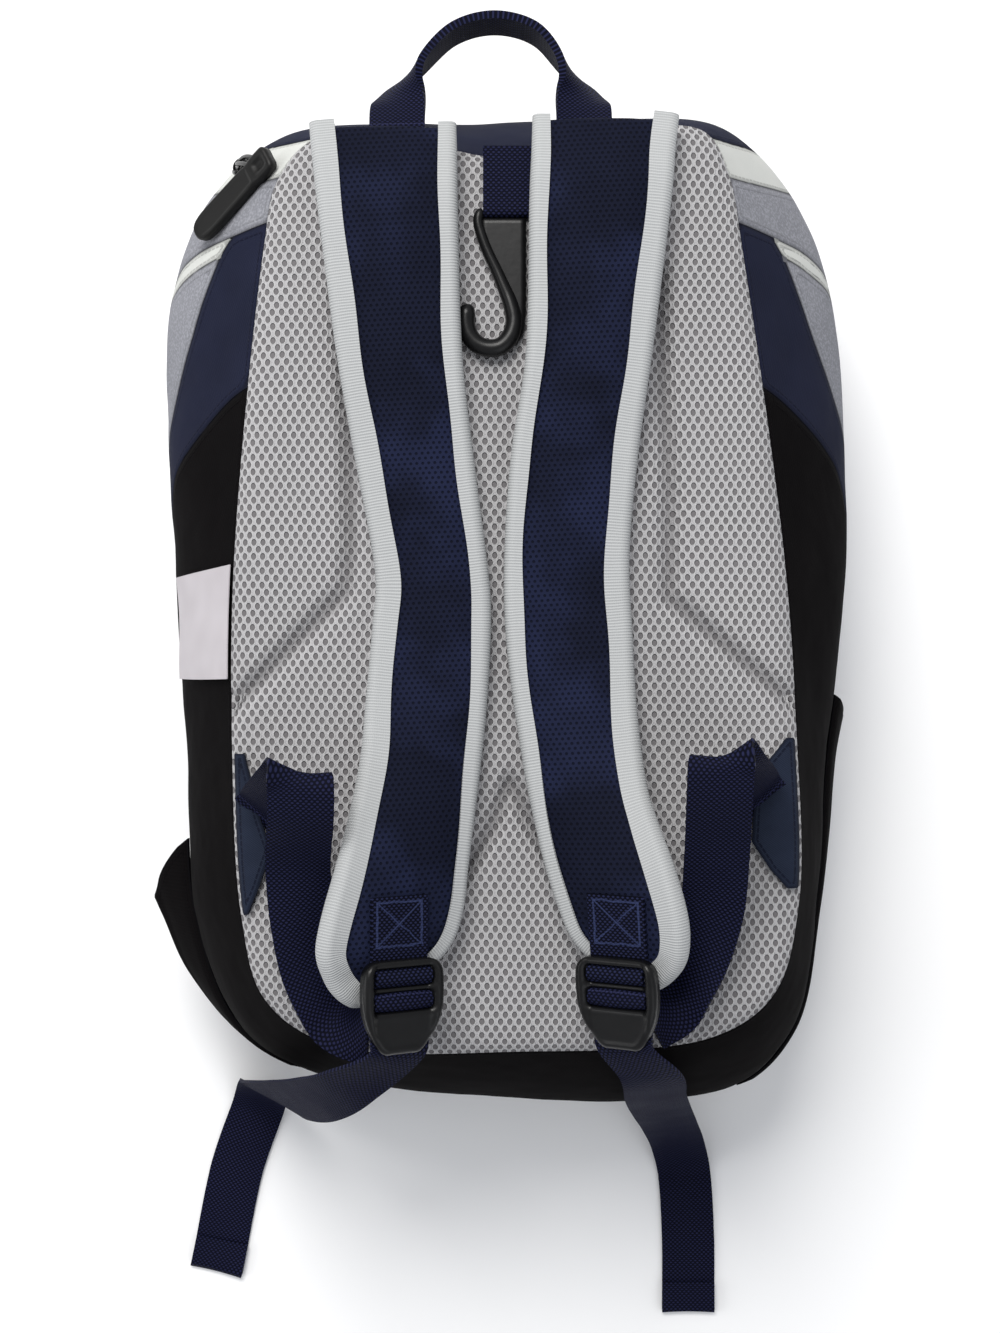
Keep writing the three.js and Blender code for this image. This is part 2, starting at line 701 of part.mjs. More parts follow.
function ladderLock(frame) {
  const half = ladderLockWidth / 2;
  const endHalf = half * 0.55;
  const slotHalf = half - railWidth;
  const slotsEnd = lockStart + rimLength + slotLength * 2 + dividerLength;
  const shape = new THREE.Shape([
    [-half + cornerCut, lockStart], [half - cornerCut, lockStart], [half, lockStart + cornerCut],
    [half, slotsEnd], [endHalf, lockEnd], [-endHalf, lockEnd],
    [-half, slotsEnd], [-half, lockStart + cornerCut],
  ].map(([x, y]) => new THREE.Vector2(x, y)));
  for (let slot = 0; slot < 2; slot += 1) {
    const from = lockStart + rimLength + slot * (slotLength + dividerLength);
    shape.holes.push(new THREE.Path([
      [-slotHalf, from], [-slotHalf, from + slotLength], [slotHalf, from + slotLength], [slotHalf, from],
    ].map(([x, y]) => new THREE.Vector2(x, y))));
  }
  const geometry = new THREE.ExtrudeGeometry(shape, { depth: ladderLockThickness, bevelEnabled: false });
  const placement = new THREE.Matrix4().makeBasis(frame.outward, frame.down, frame.face);
  geometry.applyMatrix4(placement.setPosition(placeAt(frame, 0, 0, lockBase)));
  return fromSolid(toSolid(geometry));
}

// Stitched tab: two layers of webbing on the pad, looped up into the first slot.
function buckleTab(frame) {
  const slotClear = 1;
  const loopStart = lockStart + rimLength + slotClear;
  const loopEnd = lockStart + rimLength + slotLength - slotClear;
  const loopTop = lockBase + webbingThickness;
  const tabTop = seamGap + webbingThickness;
  const profile = [
    [-tabLength / 2, seamGap], [loopEnd, seamGap], [loopEnd, loopTop],
    [loopStart, loopTop], [loopStart, tabTop], [-tabLength / 2, tabTop],
  ];
  return loft([-1, 1].map((side) => profile.map(([along, up]) => (
    placeAt(frame, side * (webbingWidth / 2 - seamGap), along, up)
  ))));
}

// Share of the strap's table at which the tab is stitched on.
const tabPosition = 0.747;

// Routes of the lower webbing from the anchor wing over its crest to the ladder
// lock, and of the tails from the ladder lock down to the surface.
const loopRoutes = {
  left: [
    [-0.7, -0.415, 1.028, -45, -5],
    [-0.64, -0.375, 1.12, -42, 0],
    [-0.57, -0.325, 1.22, -32, 0],
    [-0.535, -0.3, 1.275, -19, 0],
    [-0.527, -0.315, 1.29, -14, 0],
    [-0.528, -0.37, 1.27, -6, 0],
    [-0.548, -0.475, 1.15, 2, 0],
    [-0.54, -0.585, 1.1, 8, -10],
    [-0.515, -0.68, 1.065, 25, -20],
    [-0.46, -0.755, 1.06, 55, -20],
  ],
  right: [
    [0.705, -0.39, 1.026, -135, -5],
    [0.645, -0.345, 1.12, -140, 0],
    [0.58, -0.3, 1.22, -150, 0],
    [0.54, -0.27, 1.275, -161, 0],
    [0.532, -0.285, 1.29, -166, 0],
    [0.53, -0.34, 1.27, -174, 0],
    [0.535, -0.45, 1.17, -182, 0],
    [0.53, -0.555, 1.1, -188, -10],
    [0.495, -0.65, 1.065, -205, -20],
    [0.44, -0.725, 1.06, -235, -20],
  ],
};
const tailRoutes = {
  left: [
    [-0.43, -0.885, 1.07, -35, -25],
    [-0.523, -0.93, 0.93, -45, -12],
    [-0.63, -0.975, 0.68, -40, 0],
    [-0.735, -1.02, 0.34, -28, 0],
    [-0.78, -1.055, 0.1, -22, 0],
    [-0.81, -1.11, 0, -14, 0],
    [-0.875, -1.24, 0, -14, 0],
    [-0.94, -1.467, 0, -14, 0],
  ],
  right: [
    [0.372, -0.865, 1.07, 12, 25],
    [0.4, -0.93, 0.9, 10, 12],
    [0.445, -1.01, 0.6, 8, 0],
    [0.5, -1.1, 0.28, 6, 0],
    [0.545, -1.18, 0.08, 4, 0],
    [0.57, -1.25, 0, 0, 0],
    [0.583, -1.4, 0, 0, 0],
    [0.583, -1.56, 0, 0, 0],
  ],
};

// End of the lower webbing under the strap's tip, as a place in the tab's frame.
const loopEndOut = 7;
const loopEndBack = 5;
const loopEndDrop = 10.5;

// Wings that anchor the lower webbing, on the padded face beside the seam:
// x as a share of half the width, y of half the length.
const wingOutlines = {
  left: [[-0.709, -0.275], [-0.662, -0.4], [-0.635, -0.453], [-0.667, -0.52], [-0.701, -0.575]],
  right: [[0.744, -0.245], [0.657, -0.315], [0.647, -0.438], [0.697, -0.49], [0.744, -0.525]],
};

function anchorWing(outline, side) {
  const steps = 2;
  const insetFromSeam = 1.5;
  const standOff = 1;
  const seamX = (y) => {
    const seam = outlines.back;
    let nearest = seam.getPoint(0);
    for (let step = 0; step < outlineSteps * 4; step += 1) {
      const point = seam.getPoint(step / outlineSteps / 4);
      if (Math.sign(point.x) === side && Math.abs(point.y - y) < Math.abs(nearest.y - y)) {
        nearest = point;
      }
    }
    return nearest.x;
  };
  const grid = outline.map(([x, y]) => Array.from({ length: steps + 1 }, (_, step) => {
    const across = mix(seamX(y * halfLength) - side * insetFromSeam, x * halfWidth, step / steps);
    return new THREE.Vector3(across, y * halfLength, panelHeight(across, y * halfLength) + standOff);
  }));
  const directions = grid.map((row) => row.map(() => new THREE.Vector3(0, 0, 1)));
  return mainBody(toSolid(clothSheet(grid, directions, clothWall)).subtract(paddedPanel(seamGap)));
}

for (const [name, side] of [["left", -1], ["right", 1]]) {
  const rows = strapTables[name];
  const frames = strapFrames(rows);
  const binding = strapBinding(frames, 0);
  const pad = toSolid(strapPad(frames)).subtract(toSolid(strapBinding(frames, seamGap)));
  const frame = strapTab(rows, tabPosition);
  const across = frame.outward.clone().multiplyScalar(side);
  const underLock = seamGap + webbingThickness / 2;
  const tail = [
    { point: placeAt(frame, 0, slotTwo, underLock), across },
    { point: placeAt(frame, 0, lockEnd, underLock), across },
    ...tapeRows(tailRoutes[name]),
  ];
  tail.forEach(({ point }) => point.setZ(Math.max(point.z, webbingThickness / 2)));
  const loop = tapeRows(loopRoutes[name]);
  loop.push({
    point: placeAt(frame, loopEndOut, lockEnd - loopEndBack, -loopEndDrop),
    across: frame.face.clone().sub(frame.down),
  });
  const tapeRoom = toSolid(tape(loop, webbingWidth, webbingThickness + seamGap * 2));
  addPart(name + "_strap_pad", fromSolid(mainBody(pad)), navy);
  addPart(name + "_strap_binding", binding, offWhite);
  addPart(name + "_buckle_tab", buckleTab(frame), webbingNavy);
  addPart(name + "_ladder_lock", ladderLock(frame), black, 0.45);
  addPart(name + "_lower_webbing", tape(loop, webbingWidth, webbingThickness), webbingNavy);
  addPart(name + "_webbing_tail", tape(tail, webbingWidth, webbingThickness), webbingNavy);
  addPart(name + "_anchor_wing", fromSolid(anchorWing(wingOutlines[name], side).subtract(tapeRoom)), navy);
}

// Carry handle: a doubled strip of webbing whose ends are flat on the yoke and
// which stands on its edge over the arch.
const handleRoute = tapeRows([
  [-0.3, 0.88, 1.008, 0, 0],
  [-0.3, 0.935, 0.965, 0, 10],
  [-0.29, 0.98, 0.925, 0, 50],
  [-0.245, 1.025, 0.905, 20, 82],
  [-0.15, 1.09, 0.9, 40, 90],
  [-0.04, 1.11, 0.9, 90, 90],
  [0.07, 1.09, 0.9, 140, 90],
  [0.145, 1.03, 0.905, 160, 82],
  [0.19, 0.98, 0.925, 180, 50],
  [0.2, 0.935, 0.965, 180, 10],
  [0.2, 0.88, 1.008, 180, 0],
]);
addPart("carry_handle", tape(handleRoute, handleWidth, handleThickness), webbingNavy);

// Fence hook: a flat plastic J on a stitched loop of webbing between the straps.
const hookLoopTop = 0.852;
const hookLoopBottom = 0.722;
const hookLoopX = 0.014;
const hookBendX = -0.062;
const hookBendY = 0.526;
const hookWebShare = 0.68;

function flatPlate(points, thickness) {
  const shape = new THREE.Shape(points.map(([x, y]) => new THREE.Vector2(x, y)));
  const geometry = new THREE.ExtrudeGeometry(shape, { depth: thickness, bevelEnabled: false });
  geometry.translate(0, 0, harnessBase);
  return fromSolid(toSolid(geometry));
}

function hookLoop() {
  const left = hookLoopX * halfWidth - webbingWidth / 2;
  const right = left + webbingWidth;
  const top = hookLoopTop * halfLength;
  const bottom = hookLoopBottom * halfLength;
  const corners = [[left, top], [left, bottom], [right, bottom], [right, top]];
  return flatPlate(corners, webbingThickness * 2);
}

function fenceHook() {
  const x = hookBendX * halfWidth;
  const y = hookBendY * halfLength;
  const outer = hookBend + hookBar;
  const arcSteps = 10;
  const sweep = Math.PI * 1.08;
  const arc = (radius, from, to) => Array.from({ length: arcSteps + 1 }, (_, step) => {
    const angle = mix(from, to, step / arcSteps);
    return [x + radius * Math.cos(angle), y + radius * Math.sin(angle)];
  });
  const top = hookLoopBottom * halfLength - seamGap;
  const left = hookLoopX * halfWidth - webbingWidth / 2;
  const right = left + webbingWidth * hookWebShare;
  return flatPlate([
    [left, top],
    [left, top - hookBar],
    [left + hookBar, top - hookBar * 2.6],
    ...arc(hookBend, 0, -sweep),
    ...arc(outer, -sweep, 0),
    [right, top - hookBar * 2],
    [right, top],
  ], hookThickness);
}

addPart("hook_webbing", hookLoop(), webbingNavy);
addPart("fence_hook", fenceHook(), black, 0.4);

// Zip puller and slider, parked where the main zipper meets the left seam.
const sliderPlace = { around: 17.35, rise: 0.75 };
const pullerFrom = { around: 17.5, rise: 0.93 };
const pullerTo = { around: 16.42, rise: 0.73 };
const pullerClear = 4.8;

function zipSlider() {
  const normal = bodyNormal(sliderPlace.around, sliderPlace.rise);
  const along = bodyPoint(sliderPlace.around + 0.1, sliderPlace.rise)
    .sub(bodyPoint(sliderPlace.around - 0.1, sliderPlace.rise)).normalize();
  const side = normal.clone().cross(along).normalize();
  const base = bodyPoint(sliderPlace.around, sliderPlace.rise).addScaledVector(normal, seamGap);
  const half = sliderSize / 2;
  const topHalf = half * 0.6;
  const section = [[-half, 0], [half, 0], [topHalf, half], [-topHalf, half]];
  return loft([-half, half].map((offset) => section.map(([a, b]) => base.clone()
    .addScaledVector(along, offset).addScaledVector(side, a).addScaledVector(normal, b))));
}

function zipPuller() {
  const ends = [pullerFrom, pullerTo].map(({ around, rise }) => (
    bodyPoint(around, rise).addScaledVector(bodyNormal(around, rise), pullerClear)
  ));
  const along = ends[1].clone().sub(ends[0]).normalize();
  const out = bodyNormal((pullerFrom.around + pullerTo.around) / 2, (pullerFrom.rise + pullerTo.rise) / 2);
  const side = out.clone().cross(along).normalize();
  const face = along.clone().cross(side).normalize();
  const half = pullerWidth / 2;
  const sections = table(["share", "width"], [
    [0, 0.45], [0.05, 0.85], [0.12, 1], [0.88, 1], [0.95, 0.85], [1, 0.45],
  ]);
  const corners = [[-1, -1], [1, -1], [1, 1], [-1, 1]];
  const middle = ends[0].clone().lerp(ends[1], 0.5);
  return loft(sections.map(({ share, width }) => corners.map(([s, f]) => middle.clone()
    .addScaledVector(along, (share - 0.5) * pullerLength)
    .addScaledVector(side, s * width * half)
    .addScaledVector(face, f * pullerThickness / 2))));
}

addPart("zip_slider", fromSolid(toSolid(zipSlider()).subtract(bodyRoom)), black, 0.4);
addPart("zip_puller", zipPuller(), black, 0.5);

export default bag;
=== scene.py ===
"""Looks of a youth bat backpack that lies face down, with its harness up."""

import math

import bmesh
import bpy
import numpy as np
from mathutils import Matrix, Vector, noise


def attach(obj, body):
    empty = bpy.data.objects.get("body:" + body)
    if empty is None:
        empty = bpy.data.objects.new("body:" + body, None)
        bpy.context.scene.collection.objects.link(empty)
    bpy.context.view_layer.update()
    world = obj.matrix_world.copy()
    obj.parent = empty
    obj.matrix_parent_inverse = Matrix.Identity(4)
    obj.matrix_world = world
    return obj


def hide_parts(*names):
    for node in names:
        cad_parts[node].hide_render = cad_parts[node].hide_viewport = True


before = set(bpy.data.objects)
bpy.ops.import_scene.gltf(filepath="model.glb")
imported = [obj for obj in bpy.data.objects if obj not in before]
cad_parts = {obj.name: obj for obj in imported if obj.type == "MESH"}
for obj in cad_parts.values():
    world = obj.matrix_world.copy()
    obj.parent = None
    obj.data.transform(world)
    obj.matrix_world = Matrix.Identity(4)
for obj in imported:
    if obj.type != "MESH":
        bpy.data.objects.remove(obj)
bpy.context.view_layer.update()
mm = 0.001


# The photographer's stand: a camera that hangs 950 mm above the table and looks
# straight down, a pale table top, a large soft light behind the top of the bag
# and weaker ones at the other end and at the left.
camera_lens = bpy.data.cameras.new("camera")
camera_lens.sensor_width = 36
camera_lens.lens = 53.37
camera_lens.clip_start = 0.01
camera = bpy.data.objects.new("camera", camera_lens)
camera.location = (-3.7 * mm, -24 * mm, 950 * mm)
bpy.context.collection.objects.link(camera)
bpy.context.scene.camera = camera
bpy.context.scene.view_settings.view_transform = "Standard"


def soft_light(name, place, target, size, power, colour):
    lamp = bpy.data.lights.new(name, "AREA")
    lamp.shape = "DISK"
    lamp.size = size
    lamp.energy = power
    lamp.color = colour
    light = bpy.data.objects.new(name, lamp)
    light.location = place
    aim = Vector(target) - Vector(place)
    light.rotation_euler = aim.to_track_quat("-Z", "Y").to_euler()
    bpy.context.collection.objects.link(light)


soft_light("main_light", (-0.35, 1.15, 1.75), (0, 0, 0.1), 1.1, 38, (1, 0.985, 0.96))
soft_light("fill_light", (0.9, -1.2, 1.6), (0, 0, 0.1), 1.5, 5, (0.93, 0.96, 1))
soft_light("side_light", (-1.6, -0.2, 0.9), (0, 0, 0.1), 1.0, 5, (1, 1, 1))

world = bpy.data.worlds.new("studio")
bpy.context.scene.world = world
world.use_nodes = True
world.node_tree.nodes["Background"].inputs["Color"].default_value = (0.93, 0.95, 1, 1)
world.node_tree.nodes["Background"].inputs["Strength"].default_value = 0.5


class Value:
    """A value inside a finish, which Python's operators carry on into Math nodes."""

    def __init__(self, finish, socket):
        self.finish = finish
        self.socket = socket

    def math(self, operation, *values):
        return self.finish.node("ShaderNodeMath", {"operation": operation}, dict(enumerate(values)))

    def __add__(self, other):
        return self.math("ADD", self, other)

    def __sub__(self, other):
        return self.math("SUBTRACT", self, other)

    def __mul__(self, other):
        return self.math("MULTIPLY", self, other)

    def __truediv__(self, other):
        return self.math("DIVIDE", self, other)

    def __pow__(self, other):
        return self.math("POWER", self, other)

    def floor(self):
        return self.math("FLOOR", self)

    def fract(self):
        return self.math("FRACT", self)

    def sin(self):
        return self.math("SINE", self)

    def away(self):
        return self.math("ABSOLUTE", self)

    def fade(self, start, end):
        """One before start and nought past end, or the other way round."""
        sockets = {0: self, 1: min(start, end), 2: max(start, end), 3: 0, 4: 1}
        settings = {"interpolation_type": "SMOOTHSTEP"}
        if start < end:
            sockets.update({3: 1, 4: 0})
        return self.finish.node("ShaderNodeMapRange", settings, sockets)


class Finish:
    """One material of the bag, built up from nodes. Its sizes are in millimetres."""

    def __init__(self, name, roughness=0.8, shine=0.5, sheen=0):
        self.material = bpy.data.materials.new(name)
        self.material.use_nodes = True
        self.tree = self.material.node_tree
        self.surface = self.tree.nodes["Principled BSDF"].inputs
        self.surface["Roughness"].default_value = roughness
        self.surface["Specular IOR Level"].default_value = shine
        self.surface["Sheen Weight"].default_value = sheen
        self.surface["Sheen Roughness"].default_value = 0.45

    def node(self, kind, settings, sockets, output=0):
        node = self.tree.nodes.new(kind)
        for setting, value in settings.items():
            setattr(node, setting, value)
        for place, value in sockets.items():
            if isinstance(value, Value):
                self.tree.links.new(value.socket, node.inputs[place])
            else:
                node.inputs[place].default_value = value
        return Value(self, node.outputs[output])

    def mix(self, share, first, second):
        colours = {0: share, 6: first, 7: second}
        return self.node("ShaderNodeMix", {"data_type": "RGBA"}, colours, 2)

    def parts(self, vector):
        """The x, y and z of a vector, in millimetres."""
        return [
            self.node("ShaderNodeSeparateXYZ", {}, {0: vector}, axis) * 1000 for axis in range(3)
        ]

    def place(self):
        return self.node("ShaderNodeTexCoord", {}, {}, "Object")

    def chart(self, name):
        return self.node("ShaderNodeUVMap", {"uv_map": name}, {}, 0)

    def cloud(self, size, detail=2, where=None):
        """Soft noise whose patches are about size metres across, from nought to one."""
        sockets = {"Vector": where or self.place(), "Scale": 1 / size, "Detail": detail}
        return self.node("ShaderNodeTexNoise", {}, sockets, 0)

    def finish(self, colour, height=None, roughness=None):
        """Links what changes over the surface. The height is in millimetres."""
        self.tree.links.new(colour.socket, self.surface["Base Color"])
        if roughness:
            self.tree.links.new(roughness.socket, self.surface["Roughness"])
        if height:
            sockets = {"Strength": 1, "Distance": mm, "Height": height}
            bump = self.node("ShaderNodeBump", {}, sockets)
            self.tree.links.new(bump.socket, self.surface["Normal"])


def shade(red, green, blue):
    """A colour as read off the photograph, from 0 to 255, made linear."""
    return (*(((value / 255 + 0.055) / 1.055) ** 2.4 for value in (red, green, blue)), 1)


table_top = Finish("pale_table", 0.9)
table_top.finish(table_top.mix(table_top.cloud(0.4), shade(253, 253, 253), shade(255, 255, 255)))
table_mesh = bmesh.new()
bmesh.ops.create_grid(table_mesh, x_segments=8, y_segments=8, size=4)
bmesh.ops.translate(table_mesh, verts=table_mesh.verts, vec=(0, 0, -0.3 * mm))
floor_data = bpy.data.meshes.new("table_top")
table_mesh.to_mesh(floor_data)
floor_data.materials.append(table_top.material)
floor = bpy.data.objects.new("table_top", floor_data)
bpy.context.collection.objects.link(floor)


# The bag's body: cut panels of polyester cloth sewn edge to edge into a rounded
# shell. They are cut here from one sheet that follows the body, along the seam
# lines as they look from the side, and their edges turn in at each seam.
body_width = 297 * mm
body_length = 427 * mm
body_depth = 158 * mm
cloth_wall = 2 * mm
half_width = body_width / 2
half_length = body_length / 2
outline_columns = ("back_x", "back_y", "widest_x", "widest_y", "front_x", "front_y")
outline_rows = (
    (-0.040, 0.843, -0.040, 0.998, -0.040, 0.806),
    (0.303, 0.895, 0.337, 0.998, 0.283, 0.806),
    (0.525, 0.890, 0.640, 0.974, 0.512, 0.763),
    (0.593, 0.806, 0.828, 0.852, 0.633, 0.656),
    (0.626, 0.679, 0.949, 0.656, 0.700, 0.506),
    (0.741, 0.094, 0.997, 0.066, 0.741, 0.047),
    (0.774, -0.234, 0.936, -0.304, 0.727, -0.258),
    (0.781, -0.553, 0.905, -0.600, 0.694, -0.525),
    (0.714, -0.726, 0.835, -0.857, 0.620, -0.693),
    (0.552, -0.806, 0.660, -0.974, 0.471, -0.787),
    (0.034, -0.834, 0.034, -0.998, 0.000, -0.806),
    (-0.485, -0.820, -0.593, -0.937, -0.458, -0.778),
    (-0.660, -0.735, -0.795, -0.843, -0.606, -0.689),
    (-0.721, -0.585, -0.923, -0.609, -0.687, -0.525),
    (-0.747, -0.258, -0.949, -0.290, -0.727, -0.258),
    (-0.741, 0.094, -0.983, 0.075, -0.741, 0.047),
    (-0.660, 0.679, -1.003, 0.618, -0.714, 0.506),
    (-0.626, 0.796, -0.882, 0.843, -0.646, 0.656),
    (-0.525, 0.876, -0.653, 0.965, -0.512, 0.763),
    (-0.303, 0.885, -0.337, 0.988, -0.283, 0.806),
)
places = len(outline_rows)
outline_table = dict(zip(outline_columns, np.array(outline_rows).T))


def smooth_between(before, start, end, after, share):
    """A point between start and end on a smooth curve whose speed follows the spacing."""
    spans = [np.linalg.norm(b - a, axis=-1)[..., None] ** 0.5 for a, b in (
        (before, start), (start, end), (end, after),
    )]
    first, middle, last = (np.maximum(span, 1e-6) for span in spans)
    into = (start - before) / first - (end - before) / (first + middle) + (end - start) / middle
    out = (end - start) / middle - (after - start) / (middle + last) + (after - end) / last
    into, out = into * middle, out * middle
    share = np.asarray(share)[..., None]
    return (start + into * share + (3 * (end - start) - 2 * into - out) * share ** 2
            + (2 * (start - end) + into + out) * share ** 3)


def outline(level, around):
    """Points of one of the body's outlines. Around counts the rows of its table."""
    points = np.stack([
        outline_table[level + "_x"] * half_width, outline_table[level + "_y"] * half_length,
    ], axis=1)
    row = np.floor(around).astype(int)
    corners = [points[(row + step) % places] for step in (-1, 0, 1, 2)]
    return smooth_between(*corners, around - row)


def body_point(around, rise):
    """Points of the body's outer face. Below a rise of nought is the flat of the front."""
    around, rise = np.broadcast_arrays(np.asarray(around, float), np.asarray(rise, float))
    lower = rise < 0.5
    edge = np.where(lower[..., None], outline("front", around), outline("back", around))
    from_widest = np.clip(np.where(lower, 1 - 2 * rise, 2 * rise - 1), 0, 1)
    spread = np.where(lower, np.sqrt(1 - from_widest ** 2), np.cos(from_widest * math.pi / 2))
    flat = edge + (outline("widest", around) - edge) * spread[..., None]
    flat = flat * (1 + np.minimum(rise, 0))[..., None]
    return np.concatenate([flat, (np.maximum(rise, 0) * body_depth)[..., None]], axis=-1)


def body_normal(around, rise):
    """The outward direction of the body's face there, from its neighbours."""
    step = 0.02
    low = np.maximum(rise - step, 0)
    high = np.minimum(rise + step, 1)
    along = body_point(around + step, rise) - body_point(around - step, rise)
    normal = np.cross(body_point(around, high) - body_point(around, low), along)
    return normal / np.linalg.norm(normal, axis=-1, keepdims=True)


def cloth_grid(across, along, surface):
    """A sheet of cloth whose grid a surface function moves into place, and its shares."""
    sheet = bmesh.new()
    bmesh.ops.create_grid(sheet, x_segments=across, y_segments=along, size=0.5)
    sheet.verts.index_update()
    shares = np.array([vertex.co[:2] for vertex in sheet.verts]) + 0.5
    for vertex, point in zip(sheet.verts, surface(shares[:, 0], shares[:, 1])):
        vertex.co = point
    return sheet, shares


def face_out(sheet):
    """Makes the sheet's faces look the same way, outwards if it is closed."""
    bmesh.ops.recalc_face_normals(sheet, faces=sheet.faces)


def close_up(sheet, within):
    """Merges points that lie within a distance and fills what stays open."""
    bmesh.ops.remove_doubles(sheet, verts=sheet.verts, dist=within)
    bmesh.ops.holes_fill(sheet, edges=[edge for edge in sheet.edges if edge.is_boundary])
    face_out(sheet)


def chart(sheet, name, values):
    """Lays a chart in metres on the sheet, from two values for each vertex."""
    layer = sheet.loops.layers.uv.new(name)
    for face in sheet.faces:
        for loop in face.loops:
            loop[layer].uv = values[loop.vert.index]


def nearest_on(points, line):
    """Distance from each point to a line, and how far along the line that is."""
    nearest = np.full(len(points), np.inf)
    along = np.zeros(len(points))
    travelled = 0
    for start, end in zip(line[:-1], line[1:]):
        run = end - start
        length = max(np.linalg.norm(run), 1e-9)
        share = np.clip((points - start) @ run / length ** 2, 0, 1)
        distance = np.linalg.norm(points - start - share[:, None] * run, axis=1)
        closer = distance < nearest
        nearest[closer] = distance[closer]
        along[closer] = travelled + share[closer] * length
        travelled += length
    return nearest, along


def inside(points, polygon):
    """Which of the flat points lie inside a closed polygon."""
    odd = np.zeros(len(points), bool)
    for (x0, y0), (x1, y1) in zip(polygon, np.roll(polygon, -1, axis=0)):
        spans = (points[:, 1] < y0) != (points[:, 1] < y1)
        if y0 != y1:
            odd ^= spans & (points[:, 0] < x0 + (points[:, 1] - y0) / (y1 - y0) * (x1 - x0))
    return odd


def trim(sheet, outside, snap=0.2 * mm):
    """Cuts a sheet where outside() is nought and takes away the side where it is more."""
    sheet.verts.index_update()
    values = outside(np.array([vertex.co for vertex in sheet.verts]))
    values[abs(values) < snap] = 0
    cut = [vertex for vertex, value in zip(sheet.verts, values) if value == 0]
    for edge in list(sheet.edges):
        first, last = (values[vertex.index] for vertex in edge.verts)
        if first * last < 0:
            cut.append(bmesh.utils.edge_split(edge, edge.verts[0], first / (first - last))[1])
    bmesh.ops.connect_verts(sheet, verts=cut)
    faces = list(sheet.faces)
    centres = outside(np.array([face.calc_center_median() for face in faces]))
    gone = [face for face, value in zip(faces, centres) if value > 0]
    bmesh.ops.delete(sheet, geom=gone, context="FACES")
    sheet.verts.index_update()


def borders(sheet):
    """The sheet's open edges as lines of points."""
    edges = {edge for edge in sheet.edges if edge.is_boundary}
    lines = []
    while edges:
        edge = edges.pop()
        line = list(edge.verts)
        while edge:
            edge = next((other for other in line[-1].link_edges if other in edges), None)
            if edge:
                edges.discard(edge)
                line.append(edge.other_vert(line[-1]))
        lines.append(np.array([vertex.co for vertex in line]))
    return lines


def seam_chart(sheet):
    """Charts each place by how far along the nearest seam it is and how far from it."""
    points = np.array([vertex.co for vertex in sheet.verts])
    nearest = np.full(len(points), np.inf)
    along = np.zeros(len(points))
    for line in borders(sheet):
        distance, place = nearest_on(points, line)
        closer = distance < nearest
        nearest[closer] = distance[closer]
        along[closer] = place[closer]
    chart(sheet, "seam", np.stack([along, nearest], axis=1))


def sew_in(name, sheet, finish, nodes, wall=None, offset=-1):
    """Makes the sheet a piece of the bag that stands for its CAD nodes."""
    for face in sheet.faces:
        face.smooth = True
    for edge in sheet.edges:
        if edge.is_boundary:
            edge.smooth = False
    mesh = bpy.data.meshes.new(name)
    sheet.to_mesh(mesh)
    sheet.free()
    mesh.materials.append(finish.material)
    piece = bpy.data.objects.new(name, mesh)
    bpy.context.collection.objects.link(piece)
    if wall:
        solidify = piece.modifiers.new("wall", "SOLIDIFY")
        solidify.thickness = wall
        solidify.offset = offset
    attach(piece, "root")
    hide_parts(*nodes)
    return piece


flat_rows = np.linspace(-1, 0, 12)
lower_rows = 0.5 * (1 - np.cos(np.linspace(0, math.pi / 2, 26)))
upper_rows = np.linspace(0.5, 1, 30)
rise_rows = np.concatenate([flat_rows[:-1], lower_rows[:-1], upper_rows])
around_steps = 360
meridian = np.linalg.norm(np.diff(body_point(5, rise_rows), axis=0), axis=1)
girth_rows = np.concatenate([[0], np.cumsum(meridian)])
girth = 1.22
slack = 0.9 * mm


def read(table, share):
    """Reads a table of evenly spaced values at shares of its length."""
    return np.interp(share * (len(table) - 1), np.arange(len(table)), table)


def body_surface(turn, share):
    return body_point(turn * places, read(rise_rows, share))


body_sheet, body_shares = cloth_grid(around_steps, len(rise_rows) - 1, body_surface)
body_rises = read(rise_rows, body_shares[:, 1])
chart(body_sheet, "cloth", np.stack([
    body_shares[:, 0] * girth, read(girth_rows, body_shares[:, 1]),
], axis=1))
body_rises = np.maximum(body_rises, 0)
body_normals = body_normal(body_shares[:, 0] * places, body_rises)
for vertex, rise, normal in zip(body_sheet.verts, body_rises, body_normals):
    ripple = noise.noise(vertex.co * 28) + 0.5 * noise.noise(vertex.co * 61) - 0.6
    vertex.co += Vector(normal) * ripple * slack * 4 * rise * (1 - rise)
bmesh.ops.remove_doubles(body_sheet, verts=body_sheet.verts, dist=0.02 * mm)
face_out(body_sheet)


def smooth_through(points, span_steps):
    """A smooth line through points, with the same number of steps in every span."""
    ends = np.concatenate([points[:1] * 2 - points[1:2], points, points[-1:] * 2 - points[-2:-1]])
    steps = np.arange(0, len(points) - 1, 1 / span_steps)
    row = steps.astype(int)
    line = smooth_between(ends[row], ends[row + 1], ends[row + 2], ends[row + 3], steps - row)
    return np.concatenate([line, points[-1:]])


def seam_line(*rows):
    """A smooth seam in the side view: y as shares of half the length, z of the depth."""
    corners = np.array(rows) * (half_length, body_depth)
    return corners if len(corners) == 2 else smooth_through(corners, 8)


